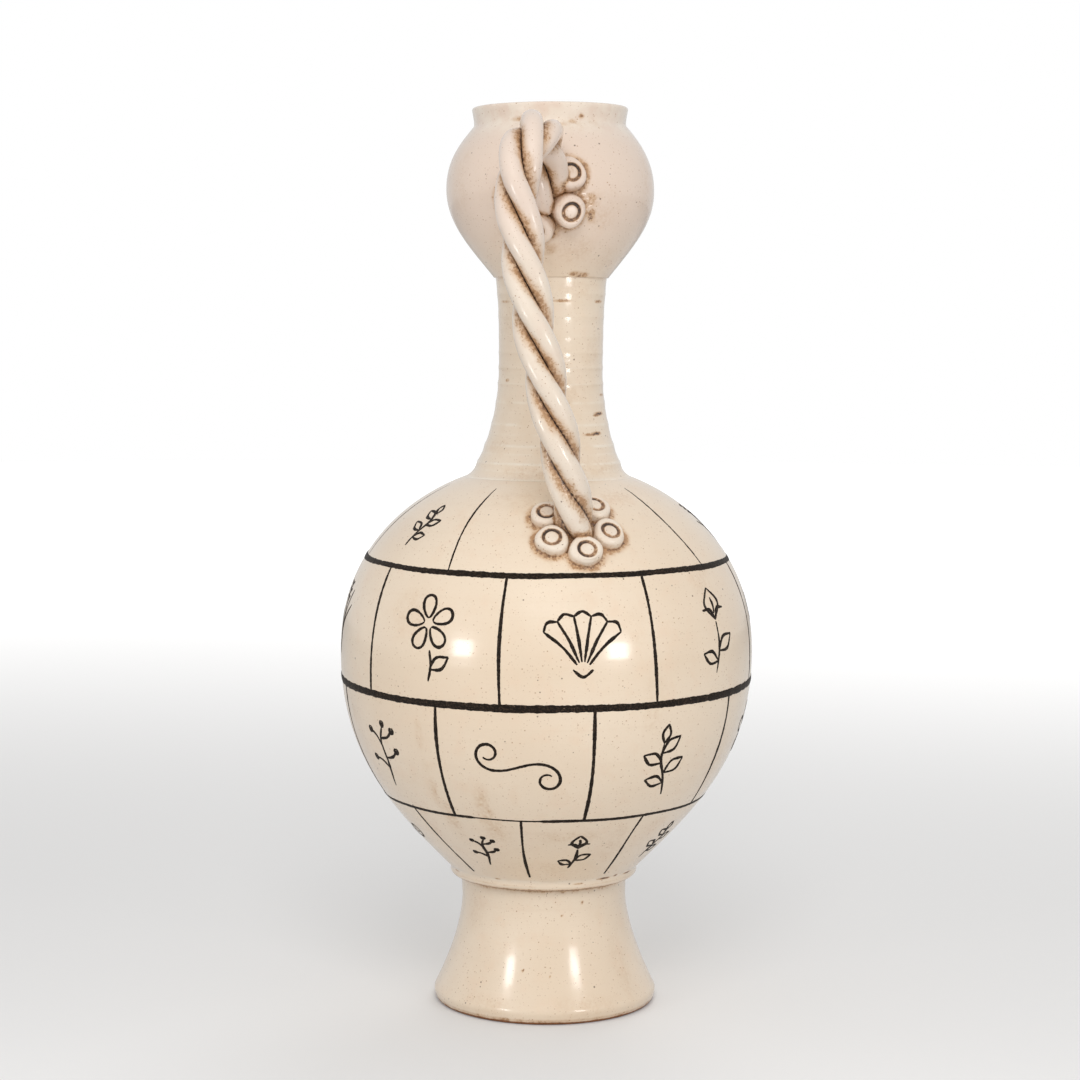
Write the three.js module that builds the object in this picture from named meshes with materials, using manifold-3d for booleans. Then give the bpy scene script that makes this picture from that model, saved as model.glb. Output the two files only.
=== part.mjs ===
// Long-necked ceramic bottle with a garlic-bulb mouth and a twisted rope handle.
// It is built as a potter builds it: foot, two halves of the ball, neck and mouth are
// thrown apart and luted together, and three rolled coils are twisted into the handle,
// whose two ends are pressed on and ringed with stamped bosses.
// Millimetres, +Z up. The origin is on the table under the middle of the foot, and the
// handle stands over the front, -Y.
import * as THREE from "three";
import { mergeVertices } from "three/addons/utils/BufferGeometryUtils.js";
import Module from "manifold-3d";

const wasm = await Module();
wasm.setup();

// Heights of the thrown sections, each measured from the seam or widest place below it
const FOOT_HEIGHT = 50.5;
const LOWER_BALL_HEIGHT = 92;
const UPPER_BALL_HEIGHT = 70.7;
const NECK_LENGTH = 79.3;
const LOWER_BULB_HEIGHT = 34.6;
const UPPER_BULB_HEIGHT = 25.4;
const COLLAR_HEIGHT = 7.5;

// Outer radii, and the small steps at the seams
const FOOT_FLARE_RADIUS = 45.1;
const FOOT_WAIST_RADIUS = 33;
const BELLY_RADIUS = 83.1;
const NECK_WAIST_RADIUS = 21;
const NECK_TOP_RADIUS = 22.4;
const BULB_RADIUS = 41.5;
const COLLAR_RADIUS = 30.5;
const FOOT_UNDERCUT = 2.8;
const LEDGE_WIDTH = 3.2;
const NECK_STEP = 1.6;
const MOUTH_STEP = 0.8;
const LIP_OVERHANG = 0.6;

// Wall thicknesses
const FOOT_WALL = 6;
const BODY_WALL = 5;
const NECK_WALL = 4.2;
const MOUTH_WALL = 4.2;
const FLOOR_THICKNESS = 7;
const FOOT_RING_WIDTH = 6;

// Foot: a rounded rim, a hollow flare and a short straight stretch under the ball
const FOOT_RIM_HEIGHT = 5;
const FOOT_STRAIGHT = 7.5;
const FOOT_FLARE_POWER = 1.62;

// Ball: its shoulder is a little fuller than an ellipse, whose power is 2, and its underside
// draws in to the foot on a straighter cone
const CROWN_OVER_SEAM = 6.1;
const SHOULDER_POWER = 2.16;
const LEDGE_HEIGHT = 4;
const BELLY_DROP = 42.8;
const CONE_RUN = 24;
const CONE_SLOPE = 1;

// Neck, with the rings that the thrower's fingers leave
const NECK_FLARE_LENGTH = 47.4;
const NECK_STRAIGHT = 6;
const NECK_FLARE_POWER = 2.4;
const RING_PITCH = 6.6;
const RING_DEPTH = 0.45;
const RING_STEPS = 3;

// Mouth
const BULB_DROP = 13.2;
const BULB_CONE_RUN = 12;
const BULB_CONE_SLOPE = 0.77;
const BULB_RISE = 12;
const COLLAR_RUN = 6;
const COLLAR_SLOPE = 0.85;
const LIP_ROUND = 1.6;

// Rope: three coils laid up left-handed, thicker at the top than at the shoulder
const COIL_COUNT = 3;
const COIL_RADIUS_TOP = 4.05;
const COIL_RADIUS_LOW = 3.38;
const HIGH_END_RADIUS = 3.7;
const LOW_END_RADIUS = 2.8;
const COIL_END_RUN = 10;
const COIL_SPREAD = 1.31;
const LAY_LENGTH = 73.8;
const LAY_START = 58;
const ROPE_STEPS = 39;
const COIL_SIDES = 8;

// The handle's middle line. Its top is measured from the bulb's widest place, the standoff of its
// crest from its seat on the shoulder, and its sideways places from the bottle's axis.
const HANDLE_TOP_RISE = 18;
const HANDLE_TOP_STANDOFF = 18.2;
const CREST_STANDOFF = 15.5;
const HANDLE_CREST_DROP = 19;
const HIGH_SEAT_DROP = 3.6;
const HIGH_SEAT_SIDE = -1.5;
const HANDLE_TOP_SIDE = -4.6;
const HANDLE_CREST_SIDE = -12;
const LOW_SEAT_DROP = 15.9;
const LOW_SEAT_SIDE = 11;
const SEAT_DEPTH = 5;
const TAKEOFF_RUN = 11.6;
const TOP_RUN_IN = 15.4;
const TOP_RUN_OUT = 10.4;
const CREST_RUN = 7.9;
const FALL_RUN = 43;
const LANDING_RUN = 45;

// Stamped bosses round the handle's ends. Each flower has a gap, in degrees, on the side where
// the rope leans over it.
const BOSS_COUNT = 5;
const BOSS_RADIUS = 6.6;
const BOSS_HEIGHT = 3.8;
const BOSS_SHOULDER = 1.3;
const BOSS_CROWN = 0.1;
const BOSS_ROOT = 7;
const STAMP_OUTER_RADIUS = 4;
const STAMP_INNER_RADIUS = 2.4;
const STAMP_DEPTH = 0.9;
const LOW_FLOWER_RADIUS = 12.5;
const LOW_FLOWER_TILT = 8;
const LOW_FLOWER_TURN = 148;
const LOW_FLOWER_GAP = 100;
const HIGH_FLOWER_RADIUS = 13.2;
const HIGH_FLOWER_TILT = 24;
const HIGH_FLOWER_TURN = 44;
const HIGH_FLOWER_GAP = 73;

// Gap that stands for the film of slip between luted pieces
const SLIP_GAP = 0.3;

// Facets
const BODY_SEGMENTS = 52;
const NECK_SEGMENTS = 36;
const MOUTH_SEGMENTS = 40;
const FOOT_SEGMENTS = 40;
const BOSS_SEGMENTS = 16;
const FLARE_STEPS = 8;
const BALL_STEPS = 9;
const BULB_STEPS = 6;
const BORE_STEPS = 5;

// Heights above the table
const BELLY_Z = FOOT_HEIGHT + LOWER_BALL_HEIGHT;
const NECK_SEAM_Z = BELLY_Z + UPPER_BALL_HEIGHT;
const MOUTH_SEAM_Z = NECK_SEAM_Z + NECK_LENGTH;
const BULB_Z = MOUTH_SEAM_Z + LOWER_BULB_HEIGHT;
const COLLAR_Z = BULB_Z + UPPER_BULB_HEIGHT;
const TOP_Z = COLLAR_Z + COLLAR_HEIGHT;
const LOW_SEAT_Z = NECK_SEAM_Z - LOW_SEAT_DROP;
const HIGH_SEAT_Z = BULB_Z - HIGH_SEAT_DROP;

// The shoulder's curve: its height over the belly, the angle up it and its radius at a height.
const SHOULDER_RISE = UPPER_BALL_HEIGHT + CROWN_OVER_SEAM;
const shoulderAngle = (z) => Math.asin(((z - BELLY_Z) / SHOULDER_RISE) ** (SHOULDER_POWER / 2));
const shoulderRadius = (z) => BELLY_RADIUS * Math.cos(shoulderAngle(z));

// Radii that follow from a neighbour's
const BODY_BASE_RADIUS = FOOT_WAIST_RADIUS + LEDGE_WIDTH;
const NECK_BASE_RADIUS = shoulderRadius(NECK_SEAM_Z) - NECK_STEP;
const LIP_RADIUS = COLLAR_RADIUS + LIP_OVERHANG;

const radians = (degrees) => (degrees * Math.PI) / 180;
const point = (r, z) => new THREE.Vector2(r, z);

// count points on a cubic curve through four profile points, without its first.
function bezier(a, b, c, d, count) {
  return new THREE.CubicBezierCurve(a, b, c, d).getPoints(count).slice(1);
}

// A profile moved outwards by a distance, along its own normals.
function offset(profile, distance) {
  return profile.map((p, i) => {
    const before = profile[Math.max(i - 1, 0)];
    const after = profile[Math.min(i + 1, profile.length - 1)];
    const along = after.clone().sub(before).normalize();
    return point(Math.max(p.x + along.y * distance, 0), p.y - along.x * distance);
  });
}

// Every second point of a profile, with both ends: hidden walls need fewer facets.
function thinned(profile) {
  return profile.filter((_, i) => i % 2 === 0 || i === profile.length - 1);
}

// Outer profiles, all from the bottom up

function footOutside() {
  const flare = FOOT_FLARE_RADIUS - FOOT_WAIST_RADIUS;
  const flareHeight = FOOT_HEIGHT - FOOT_STRAIGHT - FOOT_RIM_HEIGHT;
  const profile = [
    point(FOOT_FLARE_RADIUS - FOOT_UNDERCUT, 0),
    point(FOOT_FLARE_RADIUS - FOOT_UNDERCUT / 4, FOOT_RIM_HEIGHT / 3),
  ];
  for (let i = 0; i <= FLARE_STEPS; i++) {
    const share = i / FLARE_STEPS;
    const radius = FOOT_WAIST_RADIUS + flare * (1 - share) ** FOOT_FLARE_POWER;
    profile.push(point(radius, FOOT_RIM_HEIGHT + flareHeight * share));
  }
  profile.push(point(FOOT_WAIST_RADIUS, FOOT_HEIGHT));
  return profile;
}

function lowerBodyOutside() {
  const start = point(BODY_BASE_RADIUS, FOOT_HEIGHT + LEDGE_HEIGHT);
  const cone = point(start.x + CONE_RUN * CONE_SLOPE, start.y + CONE_RUN);
  const belly = point(BELLY_RADIUS, BELLY_Z);
  return [
    point(BODY_BASE_RADIUS - LEDGE_HEIGHT / 4, FOOT_HEIGHT),
    point(BODY_BASE_RADIUS, FOOT_HEIGHT + LEDGE_HEIGHT / 4),
    start,
    ...bezier(start, cone, point(BELLY_RADIUS, BELLY_Z - BELLY_DROP), belly, BALL_STEPS),
  ];
}

function upperBodyOutside() {
  const top = shoulderAngle(NECK_SEAM_Z);
  return Array.from({ length: BALL_STEPS + 1 }, (_, i) => {
    const angle = (top * i) / BALL_STEPS;
    const climb = Math.sin(angle) ** (2 / SHOULDER_POWER);
    return point(BELLY_RADIUS * Math.cos(angle), BELLY_Z + SHOULDER_RISE * climb);
  });
}

// The neck's radius at a height above its seam, before its rings: a flare up from the
// shoulder, a short straight waist, and a shallower flare out to the mouth.
function neckRadius(height) {
  const waistTop = NECK_FLARE_LENGTH + NECK_STRAIGHT;
  if (height < NECK_FLARE_LENGTH) {
    const share = 1 - height / NECK_FLARE_LENGTH;
    return NECK_WAIST_RADIUS + (NECK_BASE_RADIUS - NECK_WAIST_RADIUS) * share ** NECK_FLARE_POWER;
  }
  const share = Math.max(height - waistTop, 0) / (NECK_LENGTH - waistTop);
  return NECK_WAIST_RADIUS + (NECK_TOP_RADIUS - NECK_WAIST_RADIUS) * share ** 2;
}

function neckOutside() {
  const steps = Math.round(NECK_LENGTH / RING_PITCH) * RING_STEPS;
  return Array.from({ length: steps + 1 }, (_, i) => {
    const height = (NECK_LENGTH * i) / steps;
    const dip = (1 + Math.cos((2 * Math.PI * i) / RING_STEPS)) / 2;
    return point(neckRadius(height) - RING_DEPTH * dip, NECK_SEAM_Z + height);
  });
}

function mouthOutside() {
  const base = point(NECK_TOP_RADIUS + MOUTH_STEP, MOUTH_SEAM_Z);
  const cone = point(base.x + BULB_CONE_RUN * BULB_CONE_SLOPE, base.y + BULB_CONE_RUN);
  const widest = point(BULB_RADIUS, BULB_Z);
  const collar = point(COLLAR_RADIUS, COLLAR_Z);
  const underCollar = point(COLLAR_RADIUS + COLLAR_RUN * COLLAR_SLOPE, COLLAR_Z - COLLAR_RUN);
  return [
    base,
    ...bezier(base, cone, point(BULB_RADIUS, BULB_Z - BULB_DROP), widest, BULB_STEPS),
    ...bezier(widest, point(BULB_RADIUS, BULB_Z + BULB_RISE), underCollar, collar, BULB_STEPS),
    point(COLLAR_RADIUS, COLLAR_Z + 2 * LIP_OVERHANG),
    ...[0, 45, 90].map((degrees) =>
      point(
        LIP_RADIUS + LIP_ROUND * (Math.cos(radians(degrees)) - 1),
        TOP_Z + LIP_ROUND * (Math.sin(radians(degrees)) - 1),
      ),
    ),
  ];
}

// Geometry helpers

// A body of revolution about +Z from a profile that goes up its outside and down its inside.
function turned(profile, segments) {
  const geometry = new THREE.LatheGeometry([...profile, profile[0].clone()], segments);
  geometry.rotateX(Math.PI / 2);
  return geometry;
}

function solidOf(geometry) {
  const bare = geometry.clone();
  bare.deleteAttribute("normal");
  bare.deleteAttribute("uv");
  const merged = mergeVertices(bare, 1e-4);
  const mesh = new wasm.Mesh({
    numProp: 3,
    vertProperties: new Float32Array(merged.attributes.position.array),
    triVerts: new Uint32Array(merged.index.array),
  });
  return new wasm.Manifold(mesh);
}

function geometryOf(solid) {
  const mesh = solid.getMesh();
  const geometry = new THREE.BufferGeometry();
  geometry.setAttribute("position", new THREE.BufferAttribute(mesh.vertProperties, 3));
  geometry.setIndex(new THREE.BufferAttribute(mesh.triVerts, 1));
  geometry.computeVertexNormals();
  return geometry;
}

// The whole inside of an outer profile, grown by the slip gap: what a luted piece is cut by.
function seatCutter(profile, segments) {
  const grown = offset(profile, SLIP_GAP);
  const low = point(0, grown[0].y);
  const high = point(0, grown[grown.length - 1].y);
  return solidOf(turned([low, ...grown, high], segments));
}

// A vector square to a direction and as near as can be to +X, which no part of the rope follows.
function acrossFrom(direction) {
  const across = new THREE.Vector3(1, 0, 0);
  return across.addScaledVector(direction, -across.dot(direction)).normalize();
}

// A round tube with flat ends through a list of points, with its own radius at each.
function tubeThrough(points, radii, sides) {
  const last = points.length - 1;
  const positions = [];
  points.forEach((p, i) => {
    const before = points[Math.max(i - 1, 0)];
    const after = points[Math.min(i + 1, last)];
    const along = after.clone().sub(before).normalize();
    const across = acrossFrom(along);
    const over = along.clone().cross(across);
    for (let k = 0; k < sides; k++) {
      const angle = (2 * Math.PI * k) / sides;
      const rim = p.clone().addScaledVector(across, Math.cos(angle) * radii[i]);
      positions.push(...rim.addScaledVector(over, Math.sin(angle) * radii[i]).toArray());
    }
  });
  positions.push(...points[0].toArray(), ...points[last].toArray());
  const startCentre = points.length * sides;
  const index = [];
  for (let k = 0; k < sides; k++) {
    const next = (k + 1) % sides;
    for (let i = 0; i < last; i++) {
      const a = i * sides + k;
      const b = i * sides + next;
      index.push(a, b, b + sides, a, b + sides, a + sides);
    }
    index.push(startCentre, next, k);
    index.push(startCentre + 1, last * sides + k, last * sides + next);
  }
  const geometry = new THREE.BufferGeometry();
  geometry.setAttribute("position", new THREE.Float32BufferAttribute(positions, 3));
  geometry.setIndex(index);
  return geometry;
}

// The rope's middle line: out from inside the bulb's wall and up, over its crest, and down
// into the shoulder. Its places are given as sideways, outwards and up.
function handleLine() {
  const at = (side, out, z) => new THREE.Vector3(side, -out, z);
  const takeoff = at(0.14, 1, 0.5).normalize();
  const overTop = at(-0.3, 1, 0);
  const landing = at(-0.18, 0.68, 1).normalize();
  const plumb = at(-0.04, 0, 1);
  const topZ = BULB_Z + HANDLE_TOP_RISE;

  const start = at(HIGH_SEAT_SIDE, BULB_RADIUS, HIGH_SEAT_Z).addScaledVector(takeoff, -SEAT_DEPTH);
  const top = at(HANDLE_TOP_SIDE, BULB_RADIUS + HANDLE_TOP_STANDOFF, topZ);
  const crestOut = shoulderRadius(LOW_SEAT_Z) + CREST_STANDOFF;
  const crest = at(HANDLE_CREST_SIDE, crestOut, topZ - HANDLE_CREST_DROP);
  const end = at(LOW_SEAT_SIDE, shoulderRadius(LOW_SEAT_Z), LOW_SEAT_Z).addScaledVector(landing, -SEAT_DEPTH);

  const from = (place, direction, run) => place.clone().addScaledVector(direction, run);
  const line = new THREE.CurvePath();
  line.add(
    new THREE.CubicBezierCurve3(start, from(start, takeoff, TAKEOFF_RUN), from(top, overTop, -TOP_RUN_IN), top),
  );
  line.add(
    new THREE.CubicBezierCurve3(top, from(top, overTop, TOP_RUN_OUT), from(crest, plumb, CREST_RUN), crest),
  );
  line.add(
    new THREE.CubicBezierCurve3(crest, from(crest, plumb, -FALL_RUN), from(end, landing, LANDING_RUN), end),
  );
  return line;
}

// One coil of the rope, as the points of its middle line and its radius at each.
function coilCourse(line, number) {
  const length = line.getLength();
  const points = [];
  const radii = [];
  for (let i = 0; i <= ROPE_STEPS; i++) {
    const share = i / ROPE_STEPS;
    const run = share * length;
    const body = COIL_RADIUS_TOP + (COIL_RADIUS_LOW - COIL_RADIUS_TOP) * share;
    const end = share < 0.5 ? HIGH_END_RADIUS : LOW_END_RADIUS;
    const fromEnd = Math.min(run, length - run);
    const ease = Math.sin((Math.PI / 2) * Math.min(fromEnd / COIL_END_RUN, 1));
    const radius = end + (body - end) * ease;
    const angle = radians(LAY_START) + 2 * Math.PI * (number / COIL_COUNT - run / LAY_LENGTH);
    const along = line.getTangentAt(share);
    const across = acrossFrom(along);
    const over = along.clone().cross(across);
    const centre = line.getPointAt(share);
    centre.addScaledVector(across, Math.cos(angle) * radius * COIL_SPREAD);
    centre.addScaledVector(over, Math.sin(angle) * radius * COIL_SPREAD);
    points.push(centre);
    radii.push(radius);
  }
  return { points, radii };
}

// A stamped boss standing on z = 0 with a root below it, before it is cut to its seat: a
// rounded disc with a ring groove pressed into it round a low dot.
function bossProfile() {
  const grooveMiddle = (STAMP_OUTER_RADIUS + STAMP_INNER_RADIUS) / 2;
  return [
    point(0, -BOSS_ROOT),
    point(BOSS_RADIUS, -BOSS_ROOT),
    point(BOSS_RADIUS, BOSS_HEIGHT - BOSS_SHOULDER),
    point(BOSS_RADIUS - BOSS_SHOULDER / 2, BOSS_HEIGHT - BOSS_SHOULDER / 3),
    point(STAMP_OUTER_RADIUS, BOSS_HEIGHT),
    point(grooveMiddle, BOSS_HEIGHT - STAMP_DEPTH),
    point(STAMP_INNER_RADIUS, BOSS_HEIGHT - BOSS_CROWN),
    point(0, BOSS_HEIGHT + BOSS_CROWN),
  ];
}

// The bosses of one flower: spread round the seat from one side of its gap to the other, each
// leaning out from the middle.
function flower(seat, outward, ring, tilt, turn, gap, cutters) {
  const up = new THREE.Vector3(0, 0, 1);
  const across = up.clone().cross(outward).normalize();
  const rise = outward.clone().cross(across);
  const blank = solidOf(turned(bossProfile(), BOSS_SEGMENTS));
  return Array.from({ length: BOSS_COUNT }, (_, i) => {
    const angle = radians(turn + ((360 - gap) * i) / (BOSS_COUNT - 1));
    const spoke = across.clone().multiplyScalar(Math.cos(angle)).addScaledVector(rise, Math.sin(angle));
    const axis = outward.clone().multiplyScalar(Math.cos(radians(tilt)));
    axis.addScaledVector(spoke, Math.sin(radians(tilt)));
    const place = new THREE.Matrix4().makeRotationFromQuaternion(
      new THREE.Quaternion().setFromUnitVectors(up, axis),
    );
    place.setPosition(seat.clone().addScaledVector(spoke, ring));
    return cutters.reduce((solid, cutter) => solid.subtract(cutter), blank.transform(place.elements));
  });
}

// The point of a wall where a flower stands, and the wall's outward direction there.
function seatOn(radius, z, side, outwardR, outwardZ) {
  const azimuth = Math.asin(side / radius);
  const out = new THREE.Vector3(Math.sin(azimuth), -Math.cos(azimuth), 0);
  const normal = out.clone().multiplyScalar(outwardR);
  normal.z = outwardZ;
  return { seat: out.multiplyScalar(radius).setZ(z), outward: normal.normalize() };
}

// Materials
const glaze = new THREE.MeshStandardMaterial({ color: 0xe6d8c0, roughness: 0.25, metalness: 0 });
const ropeGlaze = new THREE.MeshStandardMaterial({ color: 0xe2d5c3, roughness: 0.32, metalness: 0 });
const bossGlaze = new THREE.MeshStandardMaterial({ color: 0xdccfbd, roughness: 0.38, metalness: 0 });

const bottle = new THREE.Group();

function add(name, geometry, material) {
  const mesh = new THREE.Mesh(geometry, material);
  mesh.name = name;
  bottle.add(mesh);
}

// A pedestal that is hollow from below and open to the ball's underside.
function addFoot() {
  const outside = footOutside();
  const flareStart = 2;
  const hollow = thinned(offset(outside.slice(flareStart), -FOOT_WALL)).reverse();
  hollow[0].y = FOOT_HEIGHT;
  const ringInside = point(FOOT_FLARE_RADIUS - FOOT_UNDERCUT - FOOT_RING_WIDTH, 0);
  add("foot", turned([...outside, ...hollow, ringInside], FOOT_SEGMENTS), glaze);
}

function addLowerBody() {
  const outside = lowerBodyOutside();
  const floor = FOOT_HEIGHT + FLOOR_THICKNESS;
  const wall = offset(outside, -BODY_WALL).filter((p) => p.y > floor + BODY_WALL);
  const inside = thinned(wall).reverse();
  inside[0] = point(BELLY_RADIUS - BODY_WALL, BELLY_Z);
  const floorEdge = point(BODY_BASE_RADIUS - BODY_WALL, floor);
  const profile = [point(0, FOOT_HEIGHT), ...outside, ...inside, floorEdge, point(0, floor)];
  add("lower_body", turned(profile, BODY_SEGMENTS), glaze);
}

function addUpperBody() {
  const outside = upperBodyOutside();
  const inside = thinned(offset(outside, -BODY_WALL)).reverse();
  inside[0] = point(neckRadius(0) - NECK_WALL, NECK_SEAM_Z);
  inside[inside.length - 1] = point(BELLY_RADIUS - BODY_WALL, BELLY_Z);
  add("upper_body", turned([...outside, ...inside], BODY_SEGMENTS), glaze);
}

function addNeck() {
  const bore = Array.from({ length: BORE_STEPS + 1 }, (_, i) => {
    const height = NECK_LENGTH * (1 - i / BORE_STEPS);
    return point(neckRadius(height) - NECK_WALL, NECK_SEAM_Z + height);
  });
  add("neck", turned([...neckOutside(), ...bore], NECK_SEGMENTS), glaze);
}

function addMouth() {
  const outside = mouthOutside();
  const inside = thinned(offset(outside.slice(0, -2), -MOUTH_WALL)).reverse();
  inside[inside.length - 1] = point(NECK_TOP_RADIUS - NECK_WALL, MOUTH_SEAM_Z);
  const lipInside = point(LIP_RADIUS - MOUTH_WALL, TOP_Z);
  add("garlic_mouth", turned([...outside, lipInside, ...inside], MOUTH_SEGMENTS), glaze);
}

// The rope's coils are cut where they go into the bulb and the shoulder, and the bosses are
// cut to the wall they are pressed on and to the coils they lean against.
function addHandle() {
  const line = handleLine();
  const bulbCutter = seatCutter(mouthOutside(), MOUTH_SEGMENTS);
  const shoulderCutter = seatCutter(upperBodyOutside(), BODY_SEGMENTS);
  const courses = Array.from({ length: COIL_COUNT }, (_, i) => coilCourse(line, i));
  courses.forEach(({ points, radii }, i) => {
    const coil = solidOf(tubeThrough(points, radii, COIL_SIDES));
    const seated = coil.subtract(bulbCutter).subtract(shoulderCutter);
    add(`rope_coil_${i + 1}`, geometryOf(seated), ropeGlaze);
  });
  const ropeCutters = courses.map(({ points, radii }) =>
    solidOf(tubeThrough(points, radii.map((r) => r + SLIP_GAP), COIL_SIDES)),
  );

  const climb = (LOW_SEAT_Z - BELLY_Z) / SHOULDER_RISE;
  const slopeOut = (2 * Math.cos(shoulderAngle(LOW_SEAT_Z))) / BELLY_RADIUS;
  const slopeUp = (SHOULDER_POWER * climb ** (SHOULDER_POWER - 1)) / SHOULDER_RISE;
  const low = seatOn(shoulderRadius(LOW_SEAT_Z), LOW_SEAT_Z, LOW_SEAT_SIDE, slopeOut, slopeUp);
  const high = seatOn(BULB_RADIUS, HIGH_SEAT_Z, HIGH_SEAT_SIDE, 1, 0);
  const lowRing = [LOW_FLOWER_RADIUS, LOW_FLOWER_TILT, LOW_FLOWER_TURN, LOW_FLOWER_GAP];
  const highRing = [HIGH_FLOWER_RADIUS, HIGH_FLOWER_TILT, HIGH_FLOWER_TURN, HIGH_FLOWER_GAP];
  const flowers = {
    shoulder_boss: flower(low.seat, low.outward, ...lowRing, [shoulderCutter, ...ropeCutters]),
    mouth_boss: flower(high.seat, high.outward, ...highRing, [bulbCutter, ...ropeCutters]),
  };
  for (const [name, bosses] of Object.entries(flowers)) {
    bosses.forEach((solid, i) => add(`${name}_${i + 1}`, geometryOf(solid), bossGlaze));
  }
}

addFoot();
addLowerBody();
addUpperBody();
addNeck();
addMouth();
addHandle();

export default bottle;
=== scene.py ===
"""Looks of a white-glazed bottle with a ringed neck, a garlic-bulb mouth and a rope handle.

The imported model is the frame. Each thrown section, rolled coil and stamped boss of it is made
again here on the same sizes, as a fired pot really is: a little uneven, glazed, stained brown in
its hollows and drawn on in iron-black slip. The classes hold millimetres, the meshes metres.
"""

import logging
import math
from dataclasses import dataclass, replace
from enum import Enum

import bpy
import numpy as np
from mathutils import Matrix, Vector, noise

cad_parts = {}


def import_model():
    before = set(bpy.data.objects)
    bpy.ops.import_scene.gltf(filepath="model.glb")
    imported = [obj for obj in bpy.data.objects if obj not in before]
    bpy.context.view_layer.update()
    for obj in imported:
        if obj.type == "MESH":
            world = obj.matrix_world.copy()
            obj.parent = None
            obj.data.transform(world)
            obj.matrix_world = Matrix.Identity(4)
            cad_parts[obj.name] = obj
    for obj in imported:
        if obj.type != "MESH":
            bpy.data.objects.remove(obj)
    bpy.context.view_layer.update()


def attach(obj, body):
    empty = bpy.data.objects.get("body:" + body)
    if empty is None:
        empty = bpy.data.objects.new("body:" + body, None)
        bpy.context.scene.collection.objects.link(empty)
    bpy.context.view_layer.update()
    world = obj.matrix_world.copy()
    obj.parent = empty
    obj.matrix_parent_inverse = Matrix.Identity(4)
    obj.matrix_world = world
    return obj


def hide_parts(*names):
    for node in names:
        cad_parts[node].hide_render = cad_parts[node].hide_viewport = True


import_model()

LOG = logging.getLogger("bottle")
BODY = "root"
MM = 0.001
TAU = 2 * math.pi
# The wall's skin and how far a boss's clay may reach under its middle, in millimetres.
SKIN = 2.0
ROOT = 9.0
Profile = np.ndarray
Points = np.ndarray
Piece = bpy.types.Object
Material = bpy.types.Material
Socket = bpy.types.NodeSocket
Tree = bpy.types.NodeTree


class Slot(Enum):
    """The record's material slots."""

    WHITE = "white_glaze"
    ROPE = "rope_glaze"
    BOSS = "boss_glaze"
    INK = "iron_slip"


class MotifKind(Enum):
    """The plain brush motifs that fill the panels."""

    BLOSSOM = "blossom"
    LEAF_SPRAY = "leaf spray"
    BUD = "bud"
    BERRY_TWIG = "berry twig"
    SCROLL = "scroll"
    SHELL = "shell"
    REEDS = "reeds"


def cubic(a: Points, b: Points, c: Points, d: Points, count: int) -> Points:
    """Points of a cubic curve, without its first.

    Args:
        a: Where the curve starts.
        b: The handle that it leaves towards.
        c: The handle that it arrives from.
        d: Where it ends.
        count: How many points to give.

    Returns:
        The points, one a row.
    """
    t = np.arange(1, count + 1)[:, None] / count
    a, b, c, d = (np.asarray(p, float) for p in (a, b, c, d))
    return (1 - t) ** 3 * a + 3 * (1 - t) ** 2 * t * b + 3 * (1 - t) * t**2 * c + t**3 * d


def offset(profile: Profile, distance: float) -> Profile:
    """A profile moved outwards by a distance, along its own normals."""
    along = np.gradient(profile, axis=0)
    along /= np.linalg.norm(along, axis=1, keepdims=True)
    return profile + distance * np.stack([along[:, 1], -along[:, 0]], axis=1)


def smooth_step(values: np.ndarray, low: float, high: float) -> np.ndarray:
    """Values eased from 0 at low to 1 at high."""
    share = np.clip((values - low) / (high - low), 0, 1)
    return share * share * (3 - 2 * share)


def bell(values: np.ndarray, middle: float, width: float) -> np.ndarray:
    """A bell curve: 1 at its middle and about a third at its width from there."""
    return np.exp(-(((values - middle) / width) ** 2))


def through(points: list, per_span: int = 10) -> Points:
    """A smooth line through a few chosen points.

    Args:
        points: The places that the line goes through.
        per_span: How many points each stretch between two places gets.

    Returns:
        The line's points, one a row.
    """
    places = np.asarray(points, float)
    padded = np.vstack([2 * places[0] - places[1], places, 2 * places[-1] - places[-2]])
    line = [places[:1]]
    for a, b, c, d in zip(padded, padded[1:], padded[2:], padded[3:]):
        line.append(cubic(b, b + (c - a) / 6, c - (d - b) / 6, c, per_span))
    return np.vstack(line)


def new_piece(name: str, vertices: Points, faces: list, edges: list = ()) -> Piece:
    """A mesh object at the origin from vertices in millimetres.

    Args:
        name: The piece's name.
        vertices: Points in millimetres, one a row.
        faces: Lists of vertex numbers.
        edges: Pairs of vertex numbers, for a mesh that is only lines.

    Returns:
        The object, linked to the scene.
    """
    mesh = bpy.data.meshes.new(name)
    mesh.from_pydata((np.asarray(vertices) * MM).tolist(), list(edges), faces)
    mesh.validate()
    piece = bpy.data.objects.new(name, mesh)
    bpy.context.scene.collection.objects.link(piece)
    return piece


def lofted(name: str, rings: list[Points], closed: bool = False) -> Piece:
    """A piece whose skin runs from ring to ring.

    Args:
        name: The piece's name.
        rings: Each ring's points in millimetres, as many in each, or one for a tip.
        closed: Whether the last ring joins the first.

    Returns:
        The piece.
    """
    starts = np.cumsum([0] + [len(ring) for ring in rings]).tolist()
    numbers = [list(range(start, stop)) for start, stop in zip(starts, starts[1:])]
    faces = []
    for low, high in zip(numbers, numbers[1:] + numbers[:1] if closed else numbers[1:]):
        count = max(len(low), len(high))
        for k in range(count):
            n = (k + 1) % count
            if len(low) == 1:
                faces.append((low[0], high[n], high[k]))
            elif len(high) == 1:
                faces.append((low[k], low[n], high[0]))
            else:
                faces.append((low[k], low[n], high[n], high[k]))
    return new_piece(name, np.vstack(rings), faces)


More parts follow.
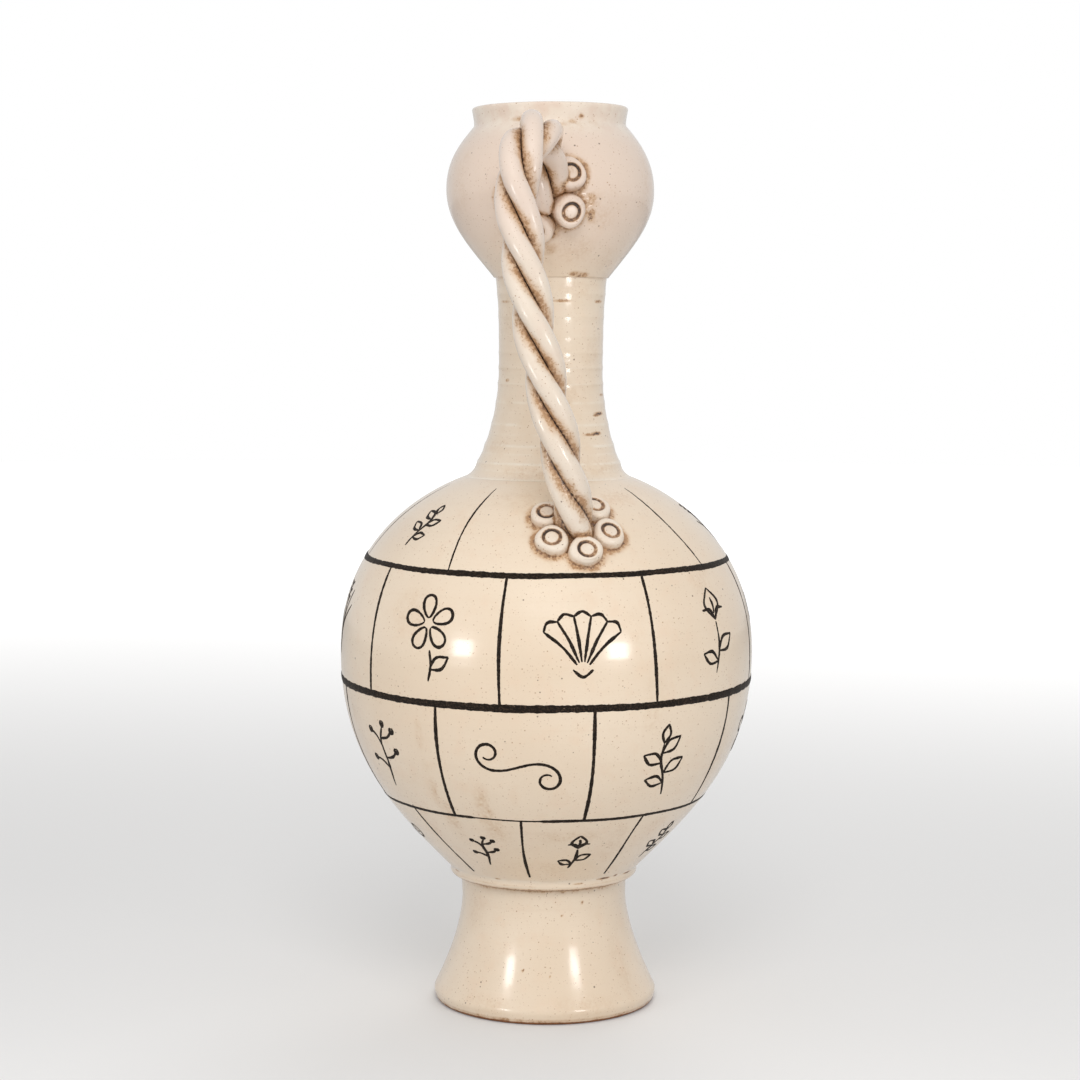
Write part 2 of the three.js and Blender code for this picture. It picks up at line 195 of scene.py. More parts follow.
def smooth(piece: Piece, sharp_angle: float = 42.0) -> None:
    """Shades a piece smooth, apart from edges that turn by more than an angle in degrees."""
    piece.data.polygons.foreach_set("use_smooth", [True] * len(piece.data.polygons))
    piece.data.set_sharp_from_angle(angle=math.radians(sharp_angle))


def points_of(piece: Piece) -> Points:
    """A piece's vertices in millimetres, one a row."""
    found = np.empty(len(piece.data.vertices) * 3, np.float32)
    piece.data.vertices.foreach_get("co", found)
    return found.reshape(-1, 3).astype(float) / MM


def put_number(piece: Piece, name: str, values: np.ndarray) -> None:
    """Stores a number for each vertex, under a name that a material or a tree reads."""
    if name in piece.data.attributes:
        piece.data.attributes.remove(piece.data.attributes[name])
    kind, key = ("FLOAT_VECTOR", "vector") if np.ndim(values) == 2 else ("FLOAT", "value")
    attribute = piece.data.attributes.new(name, kind, "POINT")
    attribute.data.foreach_set(key, np.asarray(values, np.float32).ravel())


def glaze(piece: Piece, finish: Material, **numbers: np.ndarray) -> None:
    """Gives a piece its glaze, and stores the numbers that the glaze reads under their names."""
    for name, values in numbers.items():
        put_number(piece, name, values)
    if finish.name not in piece.data.materials:
        piece.data.materials.append(finish)


def carry(piece: Piece, slot: Slot, *nodes: str) -> None:
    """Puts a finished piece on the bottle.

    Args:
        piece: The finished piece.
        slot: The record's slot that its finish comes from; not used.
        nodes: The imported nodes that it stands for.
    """
    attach(piece, BODY)
    if nodes:
        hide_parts(*nodes)
    piece.data.calc_loop_triangles()
    LOG.info("%s: %d triangles", piece.name, len(piece.data.loop_triangles))


class NodeBench:
    """A short way to place and link the nodes of a material or of a Geometry Nodes tree."""

    def __init__(self, tree: Tree) -> None:
        """Works on an empty tree."""
        self.tree = tree
        self.tree.nodes.clear()

    def put(self, kind: str, links: dict, **settings: object) -> bpy.types.Node:
        """Adds a node.

        Args:
            kind: The node's Blender type.
            links: What goes into its sockets, by name or number: a socket or a fixed value.
            settings: The node's own properties.

        Returns:
            The node.
        """
        node = self.tree.nodes.new(kind)
        for key, value in settings.items():
            setattr(node, key, value)
        for key, value in links.items():
            if isinstance(value, Socket):
                self.tree.links.new(value, node.inputs[key])
            else:
                node.inputs[key].default_value = value
        return node

    def out(self, kind: str, links: dict, **settings: object) -> Socket:
        """The first output of a new node."""
        return self.put(kind, links, **settings).outputs[0]

    def math(self, operation: str, a: object, b: object = 0.0, c: object = 0.0) -> Socket:
        """The result of a Math node on up to three numbers."""
        return self.out("ShaderNodeMath", {0: a, 1: b, 2: c}, operation=operation)

    def times(self, a: object, b: object) -> Socket:
        """One number times another."""
        return self.math("MULTIPLY", a, b)

    def added(self, value: object, scale: object, base: object) -> Socket:
        """A number times a scale, added to a base."""
        return self.math("MULTIPLY_ADD", value, scale, base)

    def swayed(self, base: object, noise_value: object, reach: float) -> Socket:
        """A base moved up and down by noise about 0.5."""
        return self.added(self.math("SUBTRACT", noise_value, 0.5), reach, base)

    def rest(self, value: object) -> Socket:
        """What a number leaves of 1."""
        return self.math("SUBTRACT", 1.0, value)

    def vector(self, operation: str, a: object, b: object) -> Socket:
        """The result of a Vector Math node on two vectors."""
        return self.out("ShaderNodeVectorMath", {0: a, 1: b}, operation=operation)

    def lengthened(self, vector: Socket, scale: object) -> Socket:
        """A vector times a number."""
        return self.out("ShaderNodeVectorMath", {0: vector, "Scale": scale}, operation="SCALE")

    def eased(self, value: object, low: float, high: float, top: float = 1.0) -> Socket:
        """A number eased from 0 at low to top at high."""
        links = {"Value": value, "From Min": low, "From Max": high, "To Min": 0.0, "To Max": top}
        return self.out("ShaderNodeMapRange", links, interpolation_type="SMOOTHSTEP")


class FinishBench(NodeBench):
    """A material in the making."""

    def __init__(self, name: str) -> None:
        """Starts an empty material under a name."""
        self.material = bpy.data.materials.new(name)
        self.material.use_nodes = True
        super().__init__(self.material.node_tree)
        self.place = self.put("ShaderNodeTexCoord", {}).outputs["Object"]

    def stretched(self, scale: tuple[float, float, float]) -> Socket:
        """The object's coordinates, stretched along its axes."""
        return self.out("ShaderNodeMapping", {"Vector": self.place, "Scale": scale})

    def noise(self, size: float, detail: float = 3.0, rough: float = 0.55,
              place: object = None) -> Socket:
        """Soft noise.

        Args:
            size: The size of its features in millimetres.
            detail: How many finer layers it has.
            rough: How strong those layers are.
            place: The coordinates that it follows, if not the object's.

        Returns:
            A number about 0.5.
        """
        links = {"Vector": place or self.place, "Scale": 1 / (size * MM), "Detail": detail}
        return self.out("ShaderNodeTexNoise", {**links, "Roughness": rough})

    def specks(self, size: float, radius: float, share: float) -> Socket:
        """Scattered round specks.

        Args:
            size: The side of the cells that may hold a speck, in millimetres.
            radius: A speck's largest radius in millimetres.
            share: The share of the cells that hold one.

        Returns:
            1 in a speck and 0 outside.
        """
        cells = self.put("ShaderNodeTexVoronoi", {"Vector": self.place, "Scale": 1 / (size * MM)})
        pick = self.put("ShaderNodeSeparateColor", {0: cells.outputs["Color"]})
        chosen = self.math("LESS_THAN", pick.outputs[0], share)
        reach = self.added(pick.outputs[1], 0.7 * radius / size, 0.3 * radius / size)
        inside = self.math("DIVIDE", cells.outputs["Distance"], reach)
        return self.times(chosen, self.rest(self.eased(inside, 0.6, 1.0)))

    def mixed(self, share: object, under: object, over: object) -> Socket:
        """One colour laid over another by a share."""
        node = self.put("ShaderNodeMix", {0: share, 6: under, 7: over}, data_type="RGBA")
        return node.outputs[2]

    def attribute(self, name: str) -> Socket:
        """A number that the piece stores for each vertex."""
        return self.put("ShaderNodeAttribute", {}, attribute_name=name).outputs["Fac"]

    def bumped(self, height: object, depth: float, strength: float = 1.0) -> Socket:
        """A normal from a height, whose full range is a depth in millimetres."""
        links = {"Height": height, "Distance": depth * MM, "Strength": strength}
        return self.out("ShaderNodeBump", links)

    def finished(self, links: dict) -> Material:
        """Ends the material with a Principled shader that has these inputs."""
        shader = self.put("ShaderNodeBsdfPrincipled", links)
        self.put("ShaderNodeOutputMaterial", {0: shader.outputs[0]})
        return self.material


@dataclass(frozen=True)
class GlazeFinish:
    """Clear glaze over white slip, with brown stain in the hollows and bare clay where none ran.

    Colours are linear. The piece stores how stained it is as stain, which also holds painted
    shade in the bosses' grooves and beside the mouth's flower and a dark band under the ledge,
    how ochre its glaze is as tint, how much painted light and pale lines brighten it as pale, and
    where it is bare as bare. Specks are rows of cell size, radius and strength, from the finest to
    the pits.
    """

    name: str
    slip: tuple = (0.825, 0.68, 0.52, 1)
    wash: tuple = (0.765, 0.605, 0.44, 1)
    blush: tuple = (0.80, 0.605, 0.435, 1)
    flush: tuple = (0.795, 0.635, 0.535, 1)
    # The colour that painted light and pale lines bring.
    pale: tuple = (0.90, 0.815, 0.69, 1)
    amber: tuple = (0.60, 0.38, 0.205, 1)
    ochre: tuple = (0.40, 0.21, 0.092, 1)
    brown: tuple = (0.15, 0.082, 0.052, 1)
    umber: tuple = (0.032, 0.020, 0.015, 1)
    clay: tuple = (0.34, 0.145, 0.06, 1)
    pinhole: tuple = (0.12, 0.062, 0.035, 1)
    coat: float = 1.0
    coat_roughness: float = 0.16
    coat_ior: float = 1.6
    roughness: float = 0.42
    relief: float = 0.11
    relief_strength: float = 0.8
    speck_share: float = 0.6
    specks: tuple = ((1.1, 0.31, 0.38), (1.65, 0.36, 0.7), (4.5, 0.5, 0.8))
    flush_from: float = 285.0
    flush_to: float = 320.0

    def make(self) -> Material:
        """Builds the material."""
        bench = FinishBench(self.name)
        height = bench.put("ShaderNodeSeparateXYZ", {0: bench.place}).outputs[2]
        drift = bench.noise(70, 2)
        mottle = bench.noise(9, 5, 0.6)
        grain = bench.noise(0.8, 3, 0.65)
        rings = bench.noise(60, 5, 0.65, bench.stretched((0.5, 0.5, 22.0)))
        colour = self.glazed(bench, height, drift, mottle, grain, rings)

        stains = (self.ochre, self.ochre, self.pinhole)
        for (size, radius, strength), over in zip(self.specks, stains):
            pits = bench.specks(size, radius, self.speck_share)
            colour = bench.mixed(bench.times(pits, strength), colour, over)

        clouds = bench.noise(5.5, 4, 0.65)
        grit = bench.noise(1.15, 3, 0.62)
        soft = bench.times(bench.attribute("tint"), bench.eased(clouds, 0.25, 0.7))
        soft = bench.times(soft, bench.eased(grit, 0.2, 0.75))
        stain = bench.attribute("stain")
        present = bench.eased(stain, 0.03, 0.2)
        veil = bench.eased(bench.swayed(stain, clouds, 0.8), 0.12, 0.8, 0.8)
        uneven = bench.swayed(bench.swayed(stain, clouds, 1.3), grit, 1.7)
        thin = bench.times(bench.eased(uneven, 0.5, 0.86, 0.8), present)
        rich = bench.eased(bench.swayed(stain, grit, 0.9), 0.74, 1.04, 0.9)
        deep = bench.eased(bench.added(grit, 0.3, stain), 1.06, 1.24, 0.95)
        ragged = bench.added(clouds, 0.8, bench.math("SUBTRACT", bench.attribute("bare"), 0.4))
        open_clay = bench.eased(ragged, 0.42, 0.58)
        body = bench.mixed(bench.eased(grit, 0.4, 0.7, 0.6), self.clay, self.pinhole)
        for share, over in (
            (soft, self.amber), (bench.times(veil, present), self.amber), (thin, self.ochre),
            (rich, self.brown), (deep, self.umber), (open_clay, body),
        ):
            colour = bench.mixed(share, colour, over)

        relief = bench.added(mottle, 0.5, bench.times(rings, 0.5))
        relief = bench.added(grain, 0.12, relief)
        relief = bench.added(pits, -0.5, relief)
        relief = bench.added(bench.times(thin, grit), -0.7, relief)
        rough = bench.added(thin, 0.22, bench.added(mottle, 0.2, self.roughness - 0.1))
        glassy = bench.times(bench.rest(open_clay), self.coat)
        return bench.finished({
            "Base Color": colour,
            "Roughness": bench.math("MAXIMUM", rough, bench.times(open_clay, 0.85)),
            "Coat Weight": bench.times(glassy, bench.rest(bench.times(thin, 0.6))),
            "Coat Roughness": self.coat_roughness,
            "Coat IOR": self.coat_ior,
            "Normal": bench.bumped(relief, self.relief, self.relief_strength),
        })

    def glazed(self, bench: FinishBench, height: object, drift: object, mottle: object,
               grain: object, rings: object) -> Socket:
        """The glaze's own colour with painted light and pale lines laid on, before specks and stains.

        Args:
            bench: The material in the making.
            height: The height above the table in metres.
            drift: Noise as large as the bottle's parts.
            mottle: Noise of about a finger's width.
            grain: Fine noise.
            rings: Noise stretched round the wheel's axis.

        Returns:
            The colour.
        """
        colour = self.slip
        for value, low, high, top, over in (
            (drift, 0.42, 0.68, 0.6, self.wash),
            (mottle, 0.48, 0.75, 0.5, self.blush),
            (rings, 0.52, 0.74, 0.3, self.wash),
            (height, self.flush_from * MM, self.flush_to * MM, 0.75, self.flush),
            (grain, 0.5, 0.7, 0.3, self.wash),
        ):
            colour = bench.mixed(bench.eased(value, low, high, top), colour, over)
        # The pale numbers lay painted light and pale lines in the pale colour.
        line = bench.times(bench.attribute("pale"), bench.eased(bench.noise(9, 3), 0.3, 0.6))
        return bench.mixed(line, colour, self.pale)


@dataclass(frozen=True)
class InkFinish:
    """Iron-black slip under the glaze, thin and flecked where the brush ran dry."""

    name: str
    black: tuple = (0.010, 0.007, 0.005, 1)
    brown: tuple = (0.05, 0.032, 0.021, 1)
    worn: tuple = (0.42, 0.32, 0.23, 1)
    roughness: float = 0.5
    gloss: float = 0.12

    def make(self) -> Material:
        """Builds the material."""
        bench = FinishBench(self.name)
        grain = bench.noise(0.6, 3, 0.65)
        patches = bench.noise(4, 2)
        colour = bench.mixed(bench.eased(grain, 0.46, 0.66), self.black, self.brown)
        dry = bench.added(patches, 0.35, grain)
        colour = bench.mixed(bench.eased(dry, 0.86, 0.98, 0.75), colour, self.worn)
        return bench.finished({
            "Base Color": colour,
            "Roughness": self.roughness,
            "Specular IOR Level": self.gloss,
            "Normal": bench.bumped(grain, 0.06),
        })


class ShapeTree(NodeBench):
    """A Geometry Nodes tree with named inputs."""

    def __init__(self, name: str, numbers: tuple, whole_numbers: tuple = ()) -> None:
        """Starts a tree.

        Args:
            name: The tree's name.
            numbers: The names of the inputs that are numbers.
            whole_numbers: The names of those that are whole numbers.
        """
        super().__init__(bpy.data.node_groups.new(name, "GeometryNodeTree"))
        interface = self.tree.interface
        interface.new_socket("Geometry", in_out="OUTPUT", socket_type="NodeSocketGeometry")
        interface.new_socket("Geometry", in_out="INPUT", socket_type="NodeSocketGeometry")
        for kind, labels in (("Float", numbers), ("Int", whole_numbers), ("Material", ("Finish",))):
            for label in labels:
                interface.new_socket(label, in_out="INPUT", socket_type=f"NodeSocket{kind}")
        self.given = self.put("NodeGroupInput", {}).outputs

    def named(self, name: str, kind: str = "FLOAT") -> Socket:
        """An attribute that the line's points store."""
        node = self.put("GeometryNodeInputNamedAttribute", {"Name": name}, data_type=kind)
        return next(s for s in node.outputs if s.name == "Attribute" and s.enabled)

    def jitter(self, size: object, seed: object) -> bpy.types.Node:
        """Noise at each point, whose features have a size in metres."""
        links = {"Scale": self.math("DIVIDE", 1.0, size), "W": seed, "Detail": 2.0}
        return self.put("ShaderNodeTexNoise", links, noise_dimensions="4D")

    def line(self) -> Socket:
        """The piece's lines as curves, with points a step apart."""
        curve = self.out("GeometryNodeMeshToCurve", {"Mesh": self.given["Geometry"]})
        links = {"Curve": curve, "Length": self.given["Step"]}
        return self.out("GeometryNodeResampleCurve", links, mode="LENGTH")

    def ring(self, sides: object) -> Socket:
        """A circle of radius 1."""
        return self.out("GeometryNodeCurvePrimitiveCircle", {"Resolution": sides, "Radius": 1.0})

    def swept(self, line: Socket, ring: Socket, scale: Socket) -> Socket:
        """A tube with closed ends, whose outline is scaled at each point."""
        links = {"Curve": line, "Profile Curve": ring, "Fill Caps": True, "Scale": scale}
        return self.out("GeometryNodeCurveToMesh", links)

    def end(self, geometry: Socket, shift: Socket) -> Tree:
        """Ends the tree.

        Args:
            geometry: What it has made.
            shift: How far each point of that moves.

        Returns:
            The tree, whose result is shaded smooth, realized and finished.
        """
        moved = self.out("GeometryNodeSetPosition", {"Geometry": geometry, "Offset": shift})
        shaded = self.out("GeometryNodeSetShadeSmooth", {"Geometry": moved})
        real = self.out("GeometryNodeRealizeInstances", {"Geometry": shaded})
        links = {"Geometry": real, "Material": self.given["Finish"]}
        self.put("NodeGroupOutput", {"Geometry": self.out("GeometryNodeSetMaterial", links)})
        return self.tree


def grow(piece: Piece, tree: Tree, values: dict) -> None:
    """Runs a tree on a piece and leaves its result as the piece's plain mesh.

    Args:
        piece: The piece, whose mesh holds the lines that the tree follows.
        tree: The Geometry Nodes tree.
        values: What goes into the tree's named inputs.
    """
    modifier = piece.modifiers.new("shape", "NODES")
    modifier.node_group = tree
    for item in tree.interface.items_tree:
        if item.item_type == "SOCKET" and item.in_out == "INPUT" and item.name in values:
            modifier[item.identifier] = values[item.name]
    graph = bpy.context.evaluated_depsgraph_get()
    mesh = bpy.data.meshes.new_from_object(piece.evaluated_get(graph), depsgraph=graph)
    piece.modifiers.clear()
    piece.data = mesh
    mesh.name = piece.name


def coil_tree() -> Tree:
    """The tree that rolls a coil of clay along a line whose points store its radius."""
    bench = ShapeTree("rolled coil", ("Step", "Unevenness", "Dent Size", "Seed"), ("Sides",))
    given = bench.given
    tube = bench.swept(bench.line(), bench.ring(given["Sides"]), bench.named("coil_radius"))
    dents = bench.jitter(given["Dent Size"], given["Seed"])
    depth = bench.times(bench.math("SUBTRACT", dents.outputs[0], 0.62), given["Unevenness"])
    return bench.end(tube, bench.lengthened(bench.out("GeometryNodeInputNormal", {}), depth))


def brush_tree() -> Tree:
    """The tree that lays flat brush strokes along lines on the wall.

    The lines' points store the stroke's half width and the wall's direction outwards.
    """
    bench = ShapeTree("brush stroke", ("Step", "Flatness", "Raggedness", "Grain", "Spread", "Seed"))
    given = bench.given
    outwards = bench.named("wall_normal", "FLOAT_VECTOR")
    links = {"Curve": bench.line(), "Normal": outwards}
    line = bench.out("GeometryNodeSetCurveNormal", links, mode="FREE")
    flat = bench.out("ShaderNodeCombineXYZ", {0: given["Flatness"], 1: 1.0, 2: 1.0})
    ring = bench.out("GeometryNodeTransform", {"Geometry": bench.ring(10), "Scale": flat})
    wave = bench.jitter(given["Grain"], given["Seed"]).outputs[0]
    swell = bench.times(bench.math("SUBTRACT", wave, 0.5), given["Raggedness"])
    width = bench.times(bench.named("half_width"), bench.math("ADD", swell, 1.0))
    edge = bench.jitter(bench.times(given["Grain"], 0.4), given["Seed"]).outputs[1]
    shift = bench.vector("SUBTRACT", edge, (0.5, 0.5, 0.5))
    shift = bench.lengthened(shift, bench.times(given["Spread"], 2.0))
    lift = bench.put("ShaderNodeVectorMath", {0: shift, 1: outwards}, operation="DOT_PRODUCT")
    shift = bench.vector("SUBTRACT", shift, bench.lengthened(outwards, lift.outputs[1]))
    return bench.end(bench.swept(line, ring, width), shift)


@dataclass
class Wall:
    """The bottle's outer surface, which bosses, coils and brush strokes are seated on.

    A fired pot stands a little off its axis and is nowhere quite round. The lean is given as
    heights with the middle's sideways place there, and the wheel's unevenness only draws inwards.
    """

    profile: Profile
    lean: tuple = (
        (0, 0.1), (22, 0.0), (50, -0.6), (58, -0.8), (100, -0.2), (142, 0.0), (175, -0.1), (200, 0.0),
        (235, 1.0), (265, 1.2), (290, 1.2), (305, 0.9), (327, 0.5), (352, 0.3), (360, 0.3),
    )
    out_of_round: float = 0.14
    finger_ridge: float = 0.011
    ridge_pitch: float = 5.3
    belly: float = 83.1
    lip_radius: float = 31.1
    lip_slope: float = 0.009
    lip_slope_from: float = 332.0
    lip_slope_to: float = 352.0

    def __post_init__(self) -> None:
        """Works out the smoothed lean and the distances along the profile."""
        heights, sideways = np.array(self.lean, float).T
        self.lean_heights = np.arange(-20, 381.0)
        reach = np.arange(-20, 21)
        weights = np.exp(-((reach / 8.0) ** 2))
        raw = np.interp(self.lean_heights, heights, sideways)
        padded = np.pad(raw, len(reach) // 2, mode="edge")
        self.lean_sideways = np.convolve(padded, weights / weights.sum(), mode="valid")
        self.profile = self.profile[np.argsort(self.profile[:, 1], kind="stable")]
        steps = np.hypot(*np.diff(self.profile, axis=0).T)
        self.run = np.concatenate([[0], np.cumsum(steps)])

    def radius(self, z: np.ndarray) -> np.ndarray:
        """The wall's even radius at a height."""
        return np.interp(z, self.profile[:, 1], self.profile[:, 0])

    def sideways(self, z: np.ndarray) -> np.ndarray:
        """How far the middle stands to the right at a height."""
        return np.interp(z, self.lean_heights, self.lean_sideways)

    def climb(self, z: float, distance: np.ndarray) -> np.ndarray:
        """The height reached from a height by going a distance up along the wall."""
        start = np.interp(z, self.profile[:, 1], self.run)
        return np.interp(start + distance, self.run, self.profile[:, 1])

    def warp(self, azimuth: np.ndarray, radius: np.ndarray, z: np.ndarray) -> Points:
        """Places of an even form's points on the uneven, leaning pot.

        Args:
            azimuth: Angles round the axis from the front, in radians, to the right.
            radius: The even form's radii.
            z: Heights.

        Returns:
            Points in millimetres.
        """
        wave = np.sin(2 * azimuth + z / 47) + 0.6 * np.sin(3 * azimuth - z / 31 + 1.1) - 1.6
        ridge = np.sin(TAU * z / self.ridge_pitch + azimuth + 0.9 * np.sin(z / 13)) - 1
        uneven = self.out_of_round * wave * 0.5 + self.finger_ridge * ridge
        r = radius + uneven * (0.3 + 0.7 * radius / self.belly)
        level = smooth_step(z, self.lip_slope_from, self.lip_slope_to) * self.lip_slope
        drop = level * (self.lip_radius - r * np.sin(azimuth))
        return np.stack([r * np.sin(azimuth) + self.sideways(z), -r * np.cos(azimuth), z - drop], -1)

    def place(self, azimuth: np.ndarray, z: np.ndarray) -> Points:
        """Points on the wall at azimuths in radians and heights."""
        return self.warp(azimuth, self.radius(z), z)

    def normal(self, azimuth: np.ndarray, z: np.ndarray) -> Points:
        """The wall's directions outwards."""
        slope = self.radius(z + 0.5) - self.radius(z - 0.5)
        out = np.stack([np.sin(azimuth), -np.cos(azimuth), -slope], -1)
        return out / np.linalg.norm(out, axis=-1, keepdims=True)

    def depth(self, points: Points) -> np.ndarray:
        """How far points lie inside the wall, measured level."""
        x, y, z = points[..., 0], points[..., 1], points[..., 2]
        return self.radius(z) - np.hypot(x - self.sideways(z), y)

    def outside(self, points: Points, skin: float = SKIN) -> np.ndarray:
        """Whether points are on the outside, rather than on the inner wall."""
        return self.depth(points) < skin


@dataclass(frozen=True)
class Mark:
    """A brown smear on the wall, some with painted shade: its place, half sizes in mm and strength."""

    azimuth: float
    height: float
    wide: float
    tall: float
    strength: float


def marked(*rows: tuple) -> tuple[Mark, ...]:
    """Marks from rows of their azimuth, height, half sizes and strength."""
    return tuple(Mark(*row) for row in rows)


@dataclass(frozen=True)
class Stamped:
    """Where one boss stands: its middle on the wall, its axis and its size."""

    middle: Points
    axis: Points
    radius: float
    height: float

    def distance(self, points: Points) -> np.ndarray:
        """How far points lie from the boss's sides, top and underside."""
        offsets = points - self.middle
        along = offsets @ self.axis
        aside = np.linalg.norm(offsets - along[:, None] * self.axis, axis=1) - self.radius
        above = np.maximum(np.maximum(along - self.height, -ROOT - along), 0)
        return np.where(aside > 0, np.hypot(aside, above), np.maximum(above, aside))


@dataclass(frozen=True)
class Course:
    """One coil's middle line, as points, and its radius at each."""

    points: Points
    radii: np.ndarray

    def distance(self, points: Points) -> np.ndarray:
        """How far points lie from the coil's surface."""
        gaps = np.linalg.norm(points[:, None, :] - self.points[None, ::2, :], axis=2)
        return (gaps - self.radii[None, ::2]).min(axis=1)


def crevice(points: Points, others: list, reach: float) -> np.ndarray:
    """How deep points lie in the crevices beside other clay.

    Args:
        points: Points in millimetres.
        others: Bosses and coils.
        reach: How far from them the stain fades out.

    Returns:
        1 at the contact, falling to 0 at the reach.
    """
    nearest = np.full(len(points), 1e3)
    for other in others:
        nearest = np.minimum(nearest, other.distance(points))
    return 1 - smooth_step(nearest, 0.0, reach)


@dataclass
class ThrownSection:
    """What the sections turned on the wheel share."""

    name: str
    nodes: tuple
    wall: Wall
    segments: int = 240
    marks: tuple = ()
    washes: tuple = ()
    crowding: float = 0.0
    shape: object = None
    smear_reach: float = 4.5
    smear_height: float = 0.45
    smear_grain: float = 1.6
    smear_stain: float = 0.88

    def profile(self) -> Profile:
        """The section's whole profile."""
        return self.shape.profile()

    def build(self, finish: Material, neighbours: list | tuple = ()) -> None:
        """Turns, stains and glazes the section, on which the neighbours stand."""
        self.dress(self.turned(self.profile()), finish, neighbours)

    def angles(self) -> np.ndarray:
        """Angles round the axis, closer together at the front where the flower is."""
        turn = np.linspace(-math.pi, math.pi, self.segments, endpoint=False)
        return turn - self.crowding * np.sin(turn)

    def turned(self, profile: Profile) -> Piece:
        """A closed turned piece.

        Args:
            profile: Radii and heights, up the outside and down the inside. It closes on itself,
                or starts and ends on the axis.

        Returns:
            The piece.
        """
        azimuth = self.angles()
        rings = []
        for r, z in profile:
            around = azimuth if r > 0 else azimuth[:1]
            ring = self.wall.warp(around, np.full_like(around, r), np.full_like(around, z))
            rings.append(ring if r > 0 else np.array([[self.wall.sideways(z), 0.0, z]]))
        piece = lofted(self.name, rings, closed=len(rings[0]) > 1)
        smooth(piece)
        return piece

    def smears(self, points: Points, marks: tuple) -> np.ndarray:
        """How much marks on the outside stain points.

        Args:
            points: Points in millimetres.
            marks: The marks, of which the strongest counts.

        Returns:
            The stain at each point.
        """
        level = points[:, 2]
        azimuth = np.degrees(np.arctan2(points[:, 0] - self.wall.sideways(level), -points[:, 1]))
        radius = np.hypot(points[:, 0], points[:, 1])
        outside = self.wall.outside(points)
        stain = np.zeros(len(points))
        for mark in marks:
            turn = np.radians((azimuth - mark.azimuth + 180) % 360 - 180)
            spread = (turn * radius / mark.wide) ** 2 + ((level - mark.height) / mark.tall) ** 2
            stain = np.maximum(stain, mark.strength * np.exp(-(spread**1.4)) * outside)
        return stain

    def dress(self, piece: Piece, finish: Material, neighbours: list | tuple) -> None:
        """Stains and glazes the section.

        Args:
            piece: The turned piece.
            finish: Its glaze.
            neighbours: The bosses and coils that stand on it.
        """
        points = points_of(piece)
        stain = np.maximum(self.smears(points, self.marks), self.own_stain(points))
        if neighbours:
            near = crevice(points, neighbours, self.smear_reach) * self.wall.outside(points)
            self.smear(piece, points, near)
            stain = np.maximum(stain, self.smear_stain * near)
        # pale holds painted light and the neck's pale lines.
        tint, pale = self.smears(points, self.washes), self.own_pale_and_painted_light(points)
        glaze(piece, finish, stain=stain, tint=tint, pale=pale, bare=self.own_bare(points))
        carry(piece, Slot.WHITE, *self.nodes)

    def smear(self, piece: Piece, points: Points, near: np.ndarray) -> None:
        """Roughens the wall where clay was pressed on and smeared.

        Args:
            piece: The turned piece.
            points: Its vertices in millimetres.
            near: How near each lies to the pressed clay, from 0 to 1.
        """
        for i in np.flatnonzero(near > 0.01):
            x, y, z = points[i]
            lump = noise.fractal(Vector((x, y, z)) / self.smear_grain, 0.8, 2.1, 3)
            out = Vector((x, y, 0)).normalized() * (self.smear_height * near[i] * (lump - 0.1) * MM)
            piece.data.vertices[i].co += out

    def own_stain(self, points: Points) -> np.ndarray:
        """Stain that follows from the section's form."""
        return np.zeros(len(points))

    def own_pale_and_painted_light(self, points: Points) -> np.ndarray:
        """How much paler the glaze is painted: painted light, and pale lines on the neck."""
        return np.zeros(len(points))

    def own_bare(self, points: Points) -> np.ndarray:
        """Where no glaze ran."""
        return np.zeros(len(points))


@dataclass(frozen=True)
class FootShape:
    """The flared pedestal's sizes."""

    height: float = 51.4
    flare: float = 45.1
    waist: float = 33.3
    undercut: float = 2.8
    rim: float = 5.0
    straight: float = 8.4
    power: float = 1.62
    wall: float = 6.0
    ring: float = 6.0
    rim_steps: tuple = (
        (0.0, 0.0), (0.8, 0.12), (1.5, 0.5), (2.05, 1.15), (2.42, 2.0), (2.68, 3.0), (2.78, 4.0),
    )

    def outside(self) -> Profile:
        """The outer profile, from the table up."""
        base = self.flare - self.undercut
        rim = [(base + out, z) for out, z in self.rim_steps]
        share = np.linspace(0, 1, 41)
        radius = self.waist + (self.flare - self.waist) * (1 - share) ** self.power
        top = self.height - self.straight
        flare = np.stack([radius, self.rim + (top - self.rim) * share], 1)
        straight = [(self.waist + 0.05 * i, top + 1.4 * i) for i in (1, 2, 3, 4)]
        root = [(self.waist + 0.45, self.height - 0.9), (self.waist + 0.9, self.height)]
        return np.vstack([rim, flare, straight, root])

    def profile(self) -> Profile:
        """The outer profile, and the hollow inside down to the foot ring."""
        outside = self.outside()
        hollow = offset(outside[7:-2], -self.wall)[::-2]
        top = [(hollow[0, 0], self.height)]
        ring = self.flare - self.undercut - self.ring
        chamfer = [(ring - 0.5, 0.6), (ring, 0.0)]
        return np.vstack([outside, top, hollow, chamfer])


